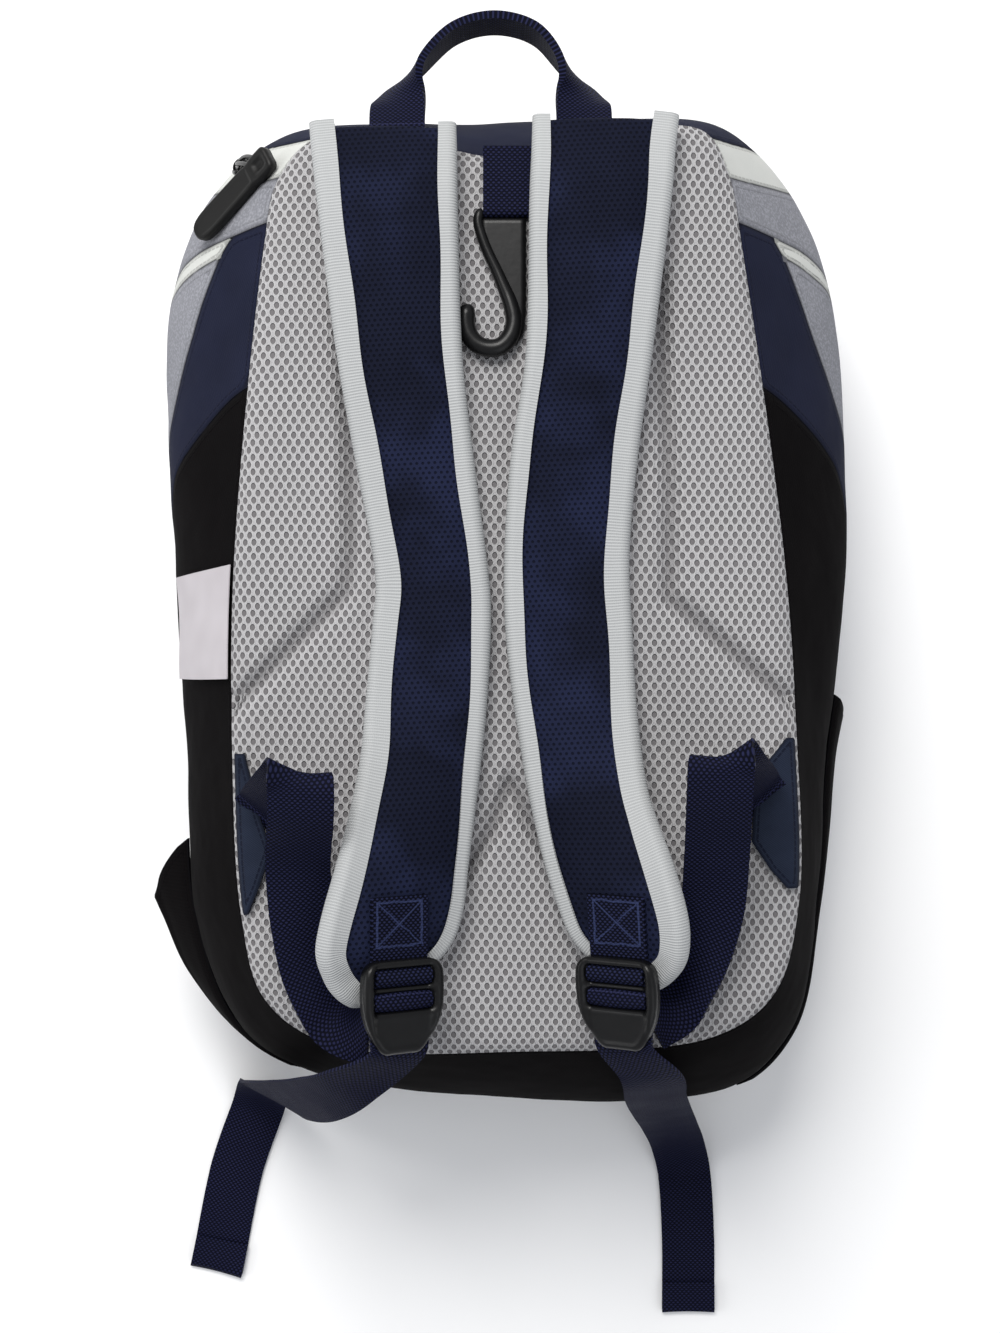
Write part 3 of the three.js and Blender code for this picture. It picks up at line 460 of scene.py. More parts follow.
above = 1.11
below = -0.04
past_top = 1.087
past_bottom = -1.1
main_zip_back = seam_line(
    (0.881, above), (0.881, 1), (0.904, 0.76), (0.937, 0.506), (0.993, 0.33), (past_top, 0.25),
)
main_zip_front = seam_line(
    (0.806, above), (0.806, 1), (0.824, 0.76), (0.857, 0.506), (0.899, 0.304), (0.96, 0.177),
    (past_top, 0.1),
)
front_zip_top = seam_line(
    (0.712, 0.886), (0.698, 0.74), (0.67, 0.6), (0.632, 0.48), (0.577, 0.33), (0.523, 0.19),
    (0.48, 0.05), (0.473, below),
)
front_zip_bottom = seam_line(
    (0.678, 0.856), (0.66, 0.74), (0.632, 0.6), (0.594, 0.48), (0.541, 0.33), (0.489, 0.19),
    (0.447, 0.05), (0.44, below),
)
side_top = seam_line((0.721, above), (0.721, 1), (0.712, 0.886))
side_edge = seam_line((0.712, 0.886), (0.678, 0.856))
side_front = seam_line(
    (0.678, 0.856), (0.61, 0.82), (0.515, 0.77), (0.4, 0.67), (0.29, 0.53), (0.2, 0.44),
    (0.094, 0.37), (-0.281, 0.26), (-0.703, 0.24),
)
gusset_front = seam_line(
    (0.412, above), (0.412, 1), (0.337, 0.823), (0.244, 0.646), (0.141, 0.582), (-0.281, 0.57),
    (-0.703, 0.57),
)
gusset_bottom = seam_line((-0.703, 0.57), (past_bottom, 0.57))
base_edge = seam_line((-0.703, 0.57), (-0.703, 0.24))
base_front = seam_line((-0.703, 0.24), (-0.749, 0.076), (-0.778, 0.013), (-0.778, below))
top_back = seam_line((past_top, above), (past_top, above))
top_front = seam_line((past_top, below), (past_top, below))
bottom_back = seam_line((past_bottom, above), (past_bottom, above))
bottom_front = seam_line((past_bottom, below), (past_bottom, below))


def plain_weave(finish, pitch):
    """Height of a plain weave, from nought to one, from the cloth's own chart."""
    u, v, _ = finish.parts(finish.chart("cloth"))
    turn = 2 * math.pi / pitch
    over = (u * turn).sin() * (v * turn).sin()
    return over * 0.5 + 0.5


def stitching(finish, inset=3.0, pitch=3.2):
    """A row of stitches beside the seams: their mask, and the distance from the seam."""
    along, across, _ = finish.parts(finish.chart("seam"))
    line = (across - inset).away().fade(0.22, 0.5)
    return line * (along / pitch).fract().fade(0.72, 0.84), across


def sewn_cloth(
        name, dark, light, thread, pitch=1.1, shine=0.05, speckle=None, inset=3.0, roll=0.7):
    """Cloth with its weave, edges that turn in at each seam with painted shade darkening them, and
    a row of stitches beside each seam.
    """
    finish = Finish(name, 0.8, shine)
    weave = plain_weave(finish, pitch)
    stitches, from_seam = stitching(finish, inset)
    turned_and_shaded = from_seam.fade(0.0, 2.2)
    wear = finish.cloud(0.03, 4)
    base = finish.mix(weave * 0.45 + wear * 0.5, dark, light)
    if speckle:
        base = finish.mix(finish.cloud(0.0011, 1).fade(0.68, 0.4) * 0.6, base, speckle)
    # Painted shade: the colour darkens towards each seam, where the edge turns in.
    base = finish.mix(turned_and_shaded ** 3 * 0.55, base, shade(12, 12, 16))
    colour = finish.mix(stitches * 0.8, base, thread)
    folds = finish.cloud(0.03, 2) * 1.6 + finish.cloud(0.09, 1) * 3
    height = weave * 0.05 - turned_and_shaded * roll + stitches * 0.25 + wear * 0.15 + folds
    finish.finish(colour, height)
    return finish


navy_cloth = sewn_cloth("navy_cloth", shade(17, 19, 31), shade(38, 42, 64), shade(22, 24, 40))
black_cloth = sewn_cloth(
    "black_cloth", shade(5, 4, 5), shade(19, 17, 18), shade(13, 11, 13), 1.4, 0.02,
)
grey_cloth = sewn_cloth(
    "heather_grey_cloth", shade(112, 113, 119), shade(146, 147, 153), shade(128, 129, 134), 1.0,
    speckle=shade(160, 161, 168),
)
zip_tape = sewn_cloth(
    "zip_tape", shade(190, 192, 188), shade(212, 213, 209), shade(168, 169, 165), 0.9,
    inset=1.5, roll=0.15,
)


# The yoke dips between the straps, so that the white zipper band doesn't show there.
yoke_dip = 11 * mm
yoke_dip_reach = 46 * mm


def body_panel(name, finish, slot, node, *lines, side=None):
    """One cloth panel of the body. Its pattern is a row of seam lines, the right way round."""
    pattern = np.concatenate(lines)
    closed = np.concatenate([pattern, pattern[:1]])

    def outside(points):
        central = np.exp(-(points[:, 0] / yoke_dip_reach) ** 4)
        high = np.clip((points[:, 2] / body_depth - 0.5) / 0.35, 0, 1)
        flat = points[:, 1:] + np.column_stack([yoke_dip * central * high, 0 * central])
        distance, _ = nearest_on(flat, closed)
        return np.where(inside(flat, pattern), -distance, distance) + 0.15 * mm

    panel = body_sheet.copy()
    trim(panel, outside)
    if side:
        other = [face for face in panel.faces if face.calc_center_median().x * side < 0]
        bmesh.ops.delete(panel, geom=other, context="FACES")
        panel.verts.index_update()
    seam_chart(panel)
    return sew_in(name, panel, finish, [node], cloth_wall)


body_panel("top_yoke_cloth", navy_cloth, "navy_cloth", "top_yoke", main_zip_back, top_back)
body_panel(
    "main_zipper_tape", zip_tape, "zip_tape", "main_zipper",
    main_zip_back, main_zip_front[::-1],
)
body_panel(
    "upper_band_cloth", grey_cloth, "heather_grey_cloth", "upper_band",
    main_zip_front, top_front, front_zip_top[::-1], side_top[::-1],
)
body_panel(
    "front_zipper_tape", zip_tape, "zip_tape", "front_zipper",
    front_zip_top, front_zip_bottom[::-1],
)
body_panel(
    "front_pocket_cloth", grey_cloth, "heather_grey_cloth", "front_pocket",
    front_zip_bottom, base_front[::-1], side_front[::-1],
)
for side_name, side in (("left", -1), ("right", 1)):
    body_panel(
        side_name + "_side_cloth", navy_cloth, "navy_cloth", side_name + "_side_panel",
        side_top, side_edge, side_front, gusset_front[::-1], side=side,
    )
body_panel(
    "back_gusset_cloth", black_cloth, "black_cloth", "back_gusset",
    gusset_front, gusset_bottom, bottom_back,
)
body_panel(
    "base_cloth", black_cloth, "black_cloth", "base_panel",
    gusset_bottom, bottom_front, base_front[::-1], base_edge[::-1],
)
body_sheet.free()


# The back panel: light grey spacer mesh over foam, 7 mm thick. It rolls down to
# its seam all round, and sewn channels press it down beside each strap and in an
# upturned V below the middle.
back_padding = 6.7 * mm
seam_gap = 0.3 * mm
panel_base = body_depth + seam_gap
panel_top = panel_base + back_padding
panel_roll = np.array((
    (0, 1), (0.8, 1), (0.89, 0.97), (0.93, 0.89), (0.95, 0.82), (0.97, 0.68), (0.985, 0.5),
    (1, 0.15),
))
panel_channels = (
    ((-0.745, -0.19), (-0.44, 0.025), (-0.425, 0.11), (-0.43, 0.33), (-0.45, 0.62)),
    ((0.775, -0.19), (0.43, 0.015), (0.43, 0.21), (0.415, 0.4), (0.4, 0.62)),
    ((-0.2, -0.58), (-0.05, -0.42), (0.0, -0.33), (0.07, -0.42), (0.22, -0.58)),
)
channel_reach = 3.4 * mm
channel_depth = 5.2 * mm
crease_reach = 2.2 * mm
panel_rings = np.concatenate([np.linspace(0, 0.88, 46), np.linspace(0.888, 1, 16)])
panel_turns = 480


def channel_distance(points):
    lines = [np.array(route) * (half_width, half_length) for route in panel_channels]
    return np.min([nearest_on(points, line)[0] for line in lines], axis=0)


def panel_surface(turn, share):
    reach = np.maximum(read(panel_rings, share), 0.002)
    seam = outline("back", turn * places)
    flat = seam * reach[:, None]
    padding = np.interp(reach, panel_roll[:, 0], panel_roll[:, 1])
    pressed = np.exp(-(channel_distance(flat) / channel_reach) ** 2)
    puff = np.array([noise.noise(Vector((x * 22, y * 16, 0.3))) for x, y in flat])
    height = panel_base + padding * back_padding - pressed * channel_depth
    height += (puff - 0.55) * 0.7 * mm * padding
    return np.column_stack([flat, height])


panel_sheet, panel_shares = cloth_grid(panel_turns, len(panel_rings) - 1, panel_surface)
panel_points = np.array([vertex.co for vertex in panel_sheet.verts])
roll_reach = read(panel_rings, panel_shares[:, 1])
profile_reach = np.linspace(0, 1, 401)
profile_height = np.interp(profile_reach, panel_roll[:, 0], panel_roll[:, 1]) * back_padding
mean_reach = 150 * mm
run = np.diff(profile_reach) * mean_reach
extra = np.concatenate([[0], np.cumsum(np.hypot(run, np.diff(profile_height)) - run)])
stretch = 1 + (
    np.interp(roll_reach, profile_reach, extra) / (np.maximum(roll_reach, 0.05) * mean_reach)
)
chart(panel_sheet, "cloth", panel_points[:, :2] * stretch[:, None])
# Painted shade: a mask of the creases along the sewn channels, where the mesh's colour is darkened.
crease_shade = np.exp(-(channel_distance(panel_points[:, :2]) / crease_reach) ** 2) * mm
chart(panel_sheet, "crease_shade", np.column_stack([crease_shade, crease_shade]))
bmesh.ops.remove_doubles(panel_sheet, verts=panel_sheet.verts, dist=0.05 * mm)
rim = [edge for edge in panel_sheet.edges if edge.is_boundary]
lower_rim = bmesh.ops.extrude_edge_only(panel_sheet, edges=rim)["geom"]
for vertex in lower_rim:
    if isinstance(vertex, bmesh.types.BMVert):
        vertex.co.z = panel_base
bmesh.ops.holes_fill(panel_sheet, edges=[edge for edge in panel_sheet.edges if edge.is_boundary])
face_out(panel_sheet)


def staggered(u, v, pitch, rows, half_across, half_along):
    """Distance from the middle of staggered ovals, in which one is the oval's edge."""
    row = (v / rows).floor()
    shift = (row * 0.5).fract()
    across = ((u / pitch + shift).fract() - 0.5) * (pitch / half_across)
    along = ((v / rows).fract() - 0.5) * (rows / half_along)
    return (across ** 2 + along ** 2) ** 0.5


def spacer_mesh():
    finish = Finish("air_mesh", 0.75, 0.1, 0.03)
    u, v, _ = finish.parts(finish.chart("cloth"))
    drift = finish.cloud(0.05, 1)
    sway = finish.cloud(0.07, 1, finish.chart("cloth"))
    u = u + drift * 3.4
    v = v + sway * 3.4
    oval = staggered(u, v, 3.72, 2.85, 0.98, 1.28)
    hole = oval.fade(0.78, 1.12)
    ring = (oval - 1.3).away().fade(0.0, 0.5)
    threads = (u * 4.1).sin() * (v * 5.3).sin() * 0.5 + 0.5
    colour = finish.mix(ring * 0.5 + threads * 0.3, shade(170, 169, 171), shade(200, 199, 199))
    # Painted shade: the holes are darkened as if shade fell into them.
    colour = finish.mix(hole * 0.85, colour, shade(84, 80, 82))
    colour = finish.mix(finish.cloud(0.02, 3) * 0.22, colour, shade(150, 149, 150))
    # Painted shade in the creases of the sewn channels.
    crease_shade = finish.parts(finish.chart("crease_shade"))[0]
    colour = finish.mix(crease_shade * 0.55, colour, shade(88, 86, 88))
    finish.finish(colour, ring * 0.25 + threads * 0.06 - hole * 0.7)
    return finish


air_mesh = spacer_mesh()
back_panel = sew_in("back_panel_mesh", panel_sheet, air_mesh, ["back_panel"])


# Two shoulder straps: foam pads in dimpled navy cloth, thin at their edges. The
# rows run from the yoke to the rounded lower tip: along and the two edges as
# shares of half the bag, lift of the inner edge, tilt that raises the outer
# edge, and the share of full padding.
strap_padding = 10 * mm
strap_arch = 6 * mm
binding_wall = 1.2 * mm
binding_reach = 10 * mm
inner_reach = 7.4 * mm
harness_base = panel_top + seam_gap
strap_columns = ("along", "outer", "inner", "lift", "tilt", "padding")
strap_rows = {
    "left": (
        (0.890, -0.532, -0.141, 0.1, 0, 0.5),
        (0.820, -0.522, -0.138, 0.6, 0, 0.8),
        (0.703, -0.502, -0.135, 0.9, 0, 1),
        (0.468, -0.459, -0.125, 0.7, 0, 1),
        (0.281, -0.413, -0.096, 0.3, 0, 1),
        (0.070, -0.358, -0.057, 0, 0, 1),
        (-0.028, -0.363, -0.048, 0, 0, 1),
        (-0.178, -0.381, -0.059, 0, 4, 1),
        (-0.281, -0.392, -0.074, 0, 12, 1),
        (-0.398, -0.421, -0.096, 0, 22, 1),
        (-0.487, -0.451, -0.114, 0.05, 29, 1),
        (-0.562, -0.477, -0.128, 0.1, 32, 1),
        (-0.623, -0.490, -0.160, 0.5, 32, 1),
        (-0.670, -0.474, -0.229, 1.2, 32, 0.9),
        (-0.703, -0.448, -0.303, 2.2, 32, 0.8),
        (-0.726, -0.411, -0.357, 2.8, 32, 0.7),
    ),
    "right": (
        (0.904, 0.451, 0.061, 0.1, 0, 0.5),
        (0.834, 0.439, 0.058, 0.6, 0, 0.8),
        (0.740, 0.427, 0.052, 0.9, 0, 1),
        (0.468, 0.379, 0.044, 0.7, 0, 1),
        (0.281, 0.342, 0.004, 0.3, 0, 1),
        (0.094, 0.319, -0.014, 0, 0, 1),
        (-0.047, 0.327, -0.011, 0, 0, 1),
        (-0.187, 0.337, 0.012, 0, 4, 1),
        (-0.323, 0.358, 0.044, 0, 14, 1),
        (-0.393, 0.384, 0.066, 0, 22, 1),
        (-0.468, 0.419, 0.094, 0.05, 29, 1),
        (-0.557, 0.451, 0.136, 0.1, 32, 1),
        (-0.614, 0.457, 0.173, 0.35, 32, 1),
        (-0.651, 0.446, 0.222, 0.85, 32, 0.9),
        (-0.679, 0.418, 0.276, 1.5, 32, 0.8),
        (-0.698, 0.384, 0.323, 2.1, 32, 0.7),
    ),
}


def smooth_read(column, share):
    """Reads a column at shares of its length, on the same curve as the CAD."""
    place = np.asarray(share, float) * (len(column) - 1)
    row = np.clip(np.floor(place).astype(int), 0, len(column) - 2)
    share = place - row
    before, start = column[np.maximum(row - 1, 0)], column[row]
    end, after = column[row + 1], column[np.minimum(row + 2, len(column) - 1)]
    into, out = (end - before) / 2, (after - start) / 2
    squared, cubed = share ** 2, share ** 3
    return (start * (2 * cubed - 3 * squared + 1) + into * (cubed - 2 * squared + share)
            + end * (3 * squared - 2 * cubed) + out * (cubed - squared))


def unit(vectors):
    return vectors / np.linalg.norm(vectors, axis=-1, keepdims=True)


def strap_frames(rows, share):
    """Middle, outward, down and face directions, half width and padding of a strap."""
    table = dict(zip(strap_columns, np.array(rows).T))
    along, outer, inner, lift, tilt, padding = (
        smooth_read(table[name], share) for name in strap_columns
    )
    tilt = np.radians(tilt)
    plan_half = abs(outer - inner) * half_width / 2
    middle = np.column_stack([
        (outer + inner) / 2 * half_width,
        along * half_length,
        harness_base + strap_padding / 2 / np.cos(tilt) + lift * strap_arch
        + plan_half * np.tan(tilt),
    ])
    outward = np.column_stack([np.sign(outer) * np.cos(tilt), np.zeros(len(tilt)), np.sin(tilt)])
    run = np.gradient(middle, axis=0)
    face = unit(np.cross(outward, run))
    face *= np.sign(face[:, 2:])
    down = unit(np.cross(face, outward))
    down *= -np.sign(down[:, 1:2])
    return middle, outward, down, face, plan_half / np.cos(tilt), padding


pad_edge = strap_padding / 2 - binding_wall - seam_gap
pad_swell = 1.0 * mm
pad_grid = 3.6 * mm
pad_pressure = 4
settling_steps = 20
pad_rows = 140


def strap_surface(rows):
    def surface(turn, share):
        middle, outward, _, face, half, padding = strap_frames(rows, np.linspace(0, 1, pad_rows))
        middle, outward, face = (
            np.column_stack([read(axis, share) for axis in vectors.T])
            for vectors in (middle, outward, face)
        )
        half, padding = read(half, share), read(padding, share)
        angle = turn * 2 * math.pi
        across = np.sign(np.cos(angle)) * abs(np.cos(angle)) ** 0.55
        up = np.sign(np.sin(angle)) * abs(np.sin(angle)) ** 0.55
        edge = half - binding_wall - seam_gap
        shelf = np.maximum(half - binding_reach - seam_gap, half * 0.45)
        crown = np.maximum(shelf - 5 * mm, half * 0.3)
        reach = abs(across) * edge
        share_in = np.clip((shelf - reach) / (shelf - crown), 0, 1)
        sag = 1 - 0.2 * reach / edge
        top = pad_edge + (strap_padding / 2 - seam_gap - pad_edge) * share_in * sag
        lifted = up * top * padding
        return middle + outward * (across * edge)[:, None] + face * lifted[:, None]
    return surface


def puffed(pad, name, cap, pinned):
    """Lets a closed pad swell as filled cloth does, held where pinned() says."""
    mesh = bpy.data.meshes.new(name)
    pad.to_mesh(mesh)
    pad.free()
    cushion = bpy.data.objects.new(name, mesh)
    bpy.context.collection.objects.link(cushion)
    bpy.context.view_layer.objects.active = cushion
    remesh = cushion.modifiers.new("even", "REMESH")
    remesh.mode = "VOXEL"
    remesh.voxel_size = pad_grid
    bpy.ops.object.modifier_apply(modifier="even")
    start = np.array([vertex.co for vertex in cushion.data.vertices])
    held = cushion.vertex_groups.new(name="held")
    for index in np.flatnonzero(pinned(start)):
        held.add([int(index)], 1, "REPLACE")
    cloth = cushion.modifiers.new("filling", "CLOTH")
    cloth.settings.use_pressure = True
    cloth.settings.uniform_pressure_force = pad_pressure
    cloth.settings.vertex_group_mass = "held"
    cloth.settings.effector_weights.gravity = 0
    cloth.point_cache.frame_start = 1
    cloth.point_cache.frame_end = settling_steps
    for step in range(1, settling_steps + 1):
        bpy.context.scene.frame_set(step)
    bpy.ops.object.modifier_apply(modifier="filling")
    bpy.context.scene.frame_set(1)
    moved = np.array([vertex.co for vertex in cushion.data.vertices]) - start
    length = np.maximum(np.linalg.norm(moved, axis=1, keepdims=True), 1e-9)
    settled = start + moved * np.minimum(length, cap) / length
    cushion.data.vertices.foreach_set("co", settled.ravel())
    filled = bmesh.new()
    filled.from_mesh(cushion.data)
    bpy.data.objects.remove(cushion)
    return filled


def dimpled_cloth():
    finish = Finish("strap_cloth", 0.75, 0.05)
    x, y, _ = finish.parts(finish.place())
    u = x + y * 0.06
    v = y - x * 0.06
    dimple = staggered(u, v, 2.35, 1.95, 0.62, 0.62).fade(0.5, 1.2)
    threads = (u * 9).sin() * (v * 9).sin() * 0.5 + 0.5
    wear = finish.cloud(0.035, 4)
    # Painted sheen: wide patches of lighter blue stand in for light on the cloth's soft wrinkles.
    patches = finish.cloud(0.05, 3).fade(0.66, 0.44)
    colour = finish.mix(wear * 0.6 + threads * 0.3, shade(12, 14, 25), shade(28, 32, 52))
    colour = finish.mix(patches * 0.35, colour, shade(42, 49, 82))
    # Painted shade: the dimples are darkened as if shade fell into them.
    colour = finish.mix(dimple * 0.75, colour, shade(8, 9, 16))
    creases = finish.cloud(0.016, 2) * 0.9 + finish.cloud(0.04, 1) * 2.2
    finish.finish(colour, threads * 0.05 - dimple * 0.25 + creases)
    return finish


strap_cloth = dimpled_cloth()


def strap_pad(name, rows):
    pad, _ = cloth_grid(48, 130, strap_surface(rows))
    close_up(pad, 0.05 * mm)
    middle, outward, _, _, half, _ = strap_frames(rows, np.linspace(0, 1, pad_rows))

    def under_binding(points):
        nearest = np.argmin(abs(points[:, 1:2] - middle[:, 1]), axis=1)
        across = np.sum((points - middle[nearest]) * outward[nearest], axis=1)
        y = points[:, 1]
        past_ends = (y > middle[0, 1] - 3 * mm) | (y < middle[-1, 1] + 9 * mm)
        return (abs(across) > half[nearest] - 9 * mm) | past_ends

    pad = puffed(pad, name + "_filling", pad_swell, under_binding)
    pad_piece = sew_in(name + "_pad_cloth", pad, strap_cloth, [name + "_strap_pad"])
    finer = pad_piece.modifiers.new("finer", "SUBSURF")
    finer.levels = finer.render_levels = 1


for side_name in ("left", "right"):
    strap_pad(side_name, strap_rows[side_name])


# White grosgrain binding, 25 mm wide before it is folded round the strap's edge
# from the yoke down the outer edge, round the tip and up the inner edge.
binding_steps = 420
edge_share = 0.36
edge_round = 3.6 * mm


def smooth_route(points, rounds):
    """Evens out a line by moving each point towards the middle of its neighbours."""
    for _ in range(rounds):
        points = np.concatenate([
            points[:1], points[1:-1] * 0.5 + (points[:-2] + points[2:]) * 0.25, points[-1:],
        ])
    return points


def evenly(points, count, *others):
    """The same line with evenly spaced points, and other rows read at the same places."""
    travelled = np.concatenate([[0], np.cumsum(np.linalg.norm(np.diff(points, axis=0), axis=1))])
    stops = np.linspace(0, travelled[-1], count)
    rows = [np.column_stack([np.interp(stops, travelled, axis) for axis in line.T])
            for line in (points, *others)]
    return rows if others else rows[0]


def grosgrain():
    finish = Finish("binding_tape", 0.65, 0.15, 0.03)
    across, along, _ = finish.parts(finish.chart("cloth"))
    sway = finish.cloud(0.012, 1) * 0.8
    ribs = ((along + sway) * (2 * math.pi / 1.15)).sin() * 0.5 + 0.5
    cords = (across * (2 * math.pi / 0.8)).sin() * 0.5 + 0.5
    colour = finish.mix(ribs * 0.6 + cords * 0.1, shade(154, 156, 157), shade(198, 200, 200))
    colour = finish.mix(finish.cloud(0.02, 3) * 0.3, colour, shade(188, 189, 188))
    stitch = ((across - 1.6).away().fade(0.2, 0.5)) * (along / 3).fract().fade(0.7, 0.84)
    colour = finish.mix(stitch * 0.5, colour, shade(150, 153, 153))
    finish.finish(colour, ribs * 0.16 - stitch * 0.2)
    return finish


binding_tape = grosgrain()


def strap_binding(name, rows):
    middle, outward, _, face, half, padding = strap_frames(rows, np.linspace(0, 1, 160))
    edges = [middle + outward * half[:, None] * way for way in (1, -1)]
    route = smooth_route(np.concatenate([edges[0], edges[1][::-1]]), 4)
    faces = np.concatenate([face, face[::-1]])
    thick = np.concatenate([padding, padding[::-1]])[:, None]
    reaches = np.repeat([[binding_reach], [inner_reach]], len(middle), axis=0)
    reaches = smooth_route(reaches, 40)
    further_in = np.concatenate([np.repeat(middle[:1], 16, axis=0), middle])[:len(middle)]
    middles = np.concatenate([further_in, further_in[::-1]])
    route, faces, thick, middles, reaches = evenly(
        route, binding_steps, faces, thick, middles, reaches,
    )
    inward = unit(np.cross(np.gradient(route, axis=0), faces))
    inward *= np.sign(np.sum(inward * (middles - route), axis=1))[:, None]
    fold = np.linspace(-1, 1, 25)
    flat = np.clip((abs(fold) - edge_share) / (1 - edge_share), 0, 1)
    turn = np.clip(abs(fold) / edge_share, 0, 1) * math.pi / 2
    rolled = edge_round * (1 - np.cos(turn))
    up = np.sin(turn) * np.sign(fold)
    widest = rolled + flat * (binding_reach - edge_round)
    spread = np.concatenate([[0], np.cumsum(np.hypot(np.diff(widest), np.diff(up * 5 * mm)))])
    length = np.linalg.norm(np.diff(route, axis=0), axis=1).sum()

    def surface(across, along):
        place = np.rint(along * (binding_steps - 1)).astype(int)
        column = np.rint(across * (len(fold) - 1)).astype(int)
        waver = 0.35 * mm * np.sin(place * 0.19) * flat[column]
        height = up[column] * thick[place, 0] * strap_padding / 2
        into = rolled[column] + flat[column] * (reaches[place, 0] - edge_round) + waver
        return route[place] + inward[place] * into[:, None] + faces[place] * height[:, None]

    tape, shares = cloth_grid(len(fold) - 1, binding_steps - 1, surface)
    face_out(tape)
    chart(tape, "cloth", np.column_stack([read(spread, shares[:, 0]), shares[:, 1] * length]))
    outer = next(face for face in tape.faces)
    centre = outer.calc_center_median()
    nearest = middles[np.argmin(np.linalg.norm(route - np.array(centre), axis=1))]
    if outer.normal.dot(centre - Vector(nearest)) < 0:
        bmesh.ops.reverse_faces(tape, faces=tape.faces)
    return sew_in(
        name + "_binding_tape", tape, binding_tape, [name + "_strap_binding"],
        1.1 * mm,
    )


for side_name in ("left", "right"):
    strap_binding(side_name, strap_rows[side_name])


# Webbing, 25 mm wide and woven of navy yarn. It is stitched on each strap as a
# tab, which loops into the first slot of a ladder lock. The lower webbing comes
# from a wing at the side seam, folds over and runs to the lock, and its tail
# leaves the second slot, hangs down and lies on the table with a sewn hem.
webbing_width = 25 * mm
webbing_wall = 1.5 * mm
tape_step = 1.5 * mm
tab_share = 0.747
tab_length = 22 * mm
lock_width = 35 * mm
lock_length = 36 * mm
lock_start = tab_length / 2 + 2 * mm
lock_end = lock_start + lock_length
lock_base = seam_gap * 2 + webbing_wall
rim_length = 3 * mm
slot_length = 7 * mm
divider = 2.5 * mm
slot_one = lock_start + rim_length
slot_two = slot_one + slot_length + divider
slots_end = slot_two + slot_length
under_lock = seam_gap + webbing_wall / 2
loop_routes = {
    "left": (
        (-0.672, -0.397, 1.004, -45, -3),
        (-0.655, -0.386, 1.02, -44, 0),
        (-0.635, -0.37, 1.075, -42, 0),
        (-0.57, -0.325, 1.22, -32, 0),
        (-0.535, -0.3, 1.275, -19, 0),
        (-0.527, -0.315, 1.29, -14, 0),
        (-0.528, -0.37, 1.27, -6, 0),
        (-0.548, -0.475, 1.15, 2, 0),
        (-0.54, -0.585, 1.1, 8, -10),
        (-0.515, -0.68, 1.065, 25, -20),
        (-0.46, -0.755, 1.06, 55, -20),
    ),
    "right": (
        (0.677, -0.371, 1.004, -135, -3),
        (0.66, -0.358, 1.02, -137, 0),
        (0.64, -0.341, 1.075, -140, 0),
        (0.58, -0.3, 1.22, -150, 0),
        (0.54, -0.27, 1.275, -161, 0),
        (0.532, -0.285, 1.29, -166, 0),
        (0.53, -0.34, 1.27, -174, 0),
        (0.535, -0.45, 1.17, -182, 0),
        (0.53, -0.555, 1.1, -188, -10),
        (0.495, -0.65, 1.065, -205, -20),
        (0.44, -0.725, 1.06, -235, -20),
    ),
}
tail_routes = {
    "left": (
        (-0.43, -0.885, 1.07, -35, -25),
        (-0.523, -0.93, 0.93, -45, -12),
        (-0.63, -0.975, 0.68, -40, 0),
        (-0.735, -1.02, 0.34, -28, 0),
        (-0.78, -1.055, 0.1, -22, 0),
        (-0.81, -1.11, 0.006, -14, 0),
        (-0.875, -1.24, 0.006, -14, 0),
        (-0.94, -1.465, 0.006, -14, 0),
        (-0.942, -1.468, 0.011, -14, 0),
        (-0.94, -1.464, 0.017, -14, 0),
        (-0.921, -1.4, 0.015, -14, 0),
    ),
    "right": (
        (0.372, -0.865, 1.07, 12, 25),
        (0.4, -0.93, 0.9, 10, 12),
        (0.445, -1.01, 0.6, 8, 0),
        (0.5, -1.1, 0.28, 6, 0),
        (0.545, -1.18, 0.08, 4, 0),
        (0.57, -1.25, 0.006, 0, 0),
        (0.583, -1.4, 0.006, 0, 0),
        (0.583, -1.557, 0.006, 0, 0),
        (0.583, -1.561, 0.011, 0, 0),
        (0.583, -1.557, 0.017, 0, 0),
        (0.583, -1.495, 0.015, 0, 0),
    ),
}


def tab_frame(rows):
    """Middle, outward, down and face directions where the tab is stitched on."""
    return [values[1] for values in strap_frames(rows, tab_share + np.array([-0.02, 0, 0.02]))[:4]]


def place_at(tab, out, along, up):
    middle, outward, down, face = tab
    return middle + outward * out + down * along + face * (strap_padding / 2 + up)


def tape_rows(rows):
    """Points of a route and the direction across the tape at each."""
    x, y, z, heading, lift = np.array(rows).T
    heading, lift = np.radians(heading), np.radians(lift)
    points = np.column_stack([x * half_width, y * half_length, z * panel_top])
    across = np.column_stack([
        np.cos(heading) * np.cos(lift), np.sin(heading) * np.cos(lift), np.sin(lift),
    ])
    return points, across


def tape(points, across, width, wall, cupped):
    """A flat tape along a smooth line through the points, and its length."""
    line = smooth_through(points, 12)
    shares = np.linspace(0, 1, len(line))
    sides = np.column_stack([smooth_read(axis, shares) for axis in across.T])
    length = np.linalg.norm(np.diff(line, axis=0), axis=1).sum()
    count = int(length / tape_step)
    line, sides = evenly(line, count, sides)
    run = unit(np.gradient(line, axis=0))
    sides = unit(sides - np.sum(sides * run, axis=1)[:, None] * run)
    faces = np.cross(sides, run)

    def surface(u, v):
        place = np.rint(v * (count - 1)).astype(int)
        aside = ((u - 0.5) * width)[:, None]
        cup = (((2 * u - 1) ** 2 - 0.4) * cupped)[:, None]
        points = line[place] + sides[place] * aside + faces[place] * cup
        points[:, 2] = np.maximum(points[:, 2], wall / 2)
        return points

    strip, shares = cloth_grid(10, count - 1, surface)
    chart(strip, "cloth", shares * (width, length))
    face_out(strip)
    return strip, length


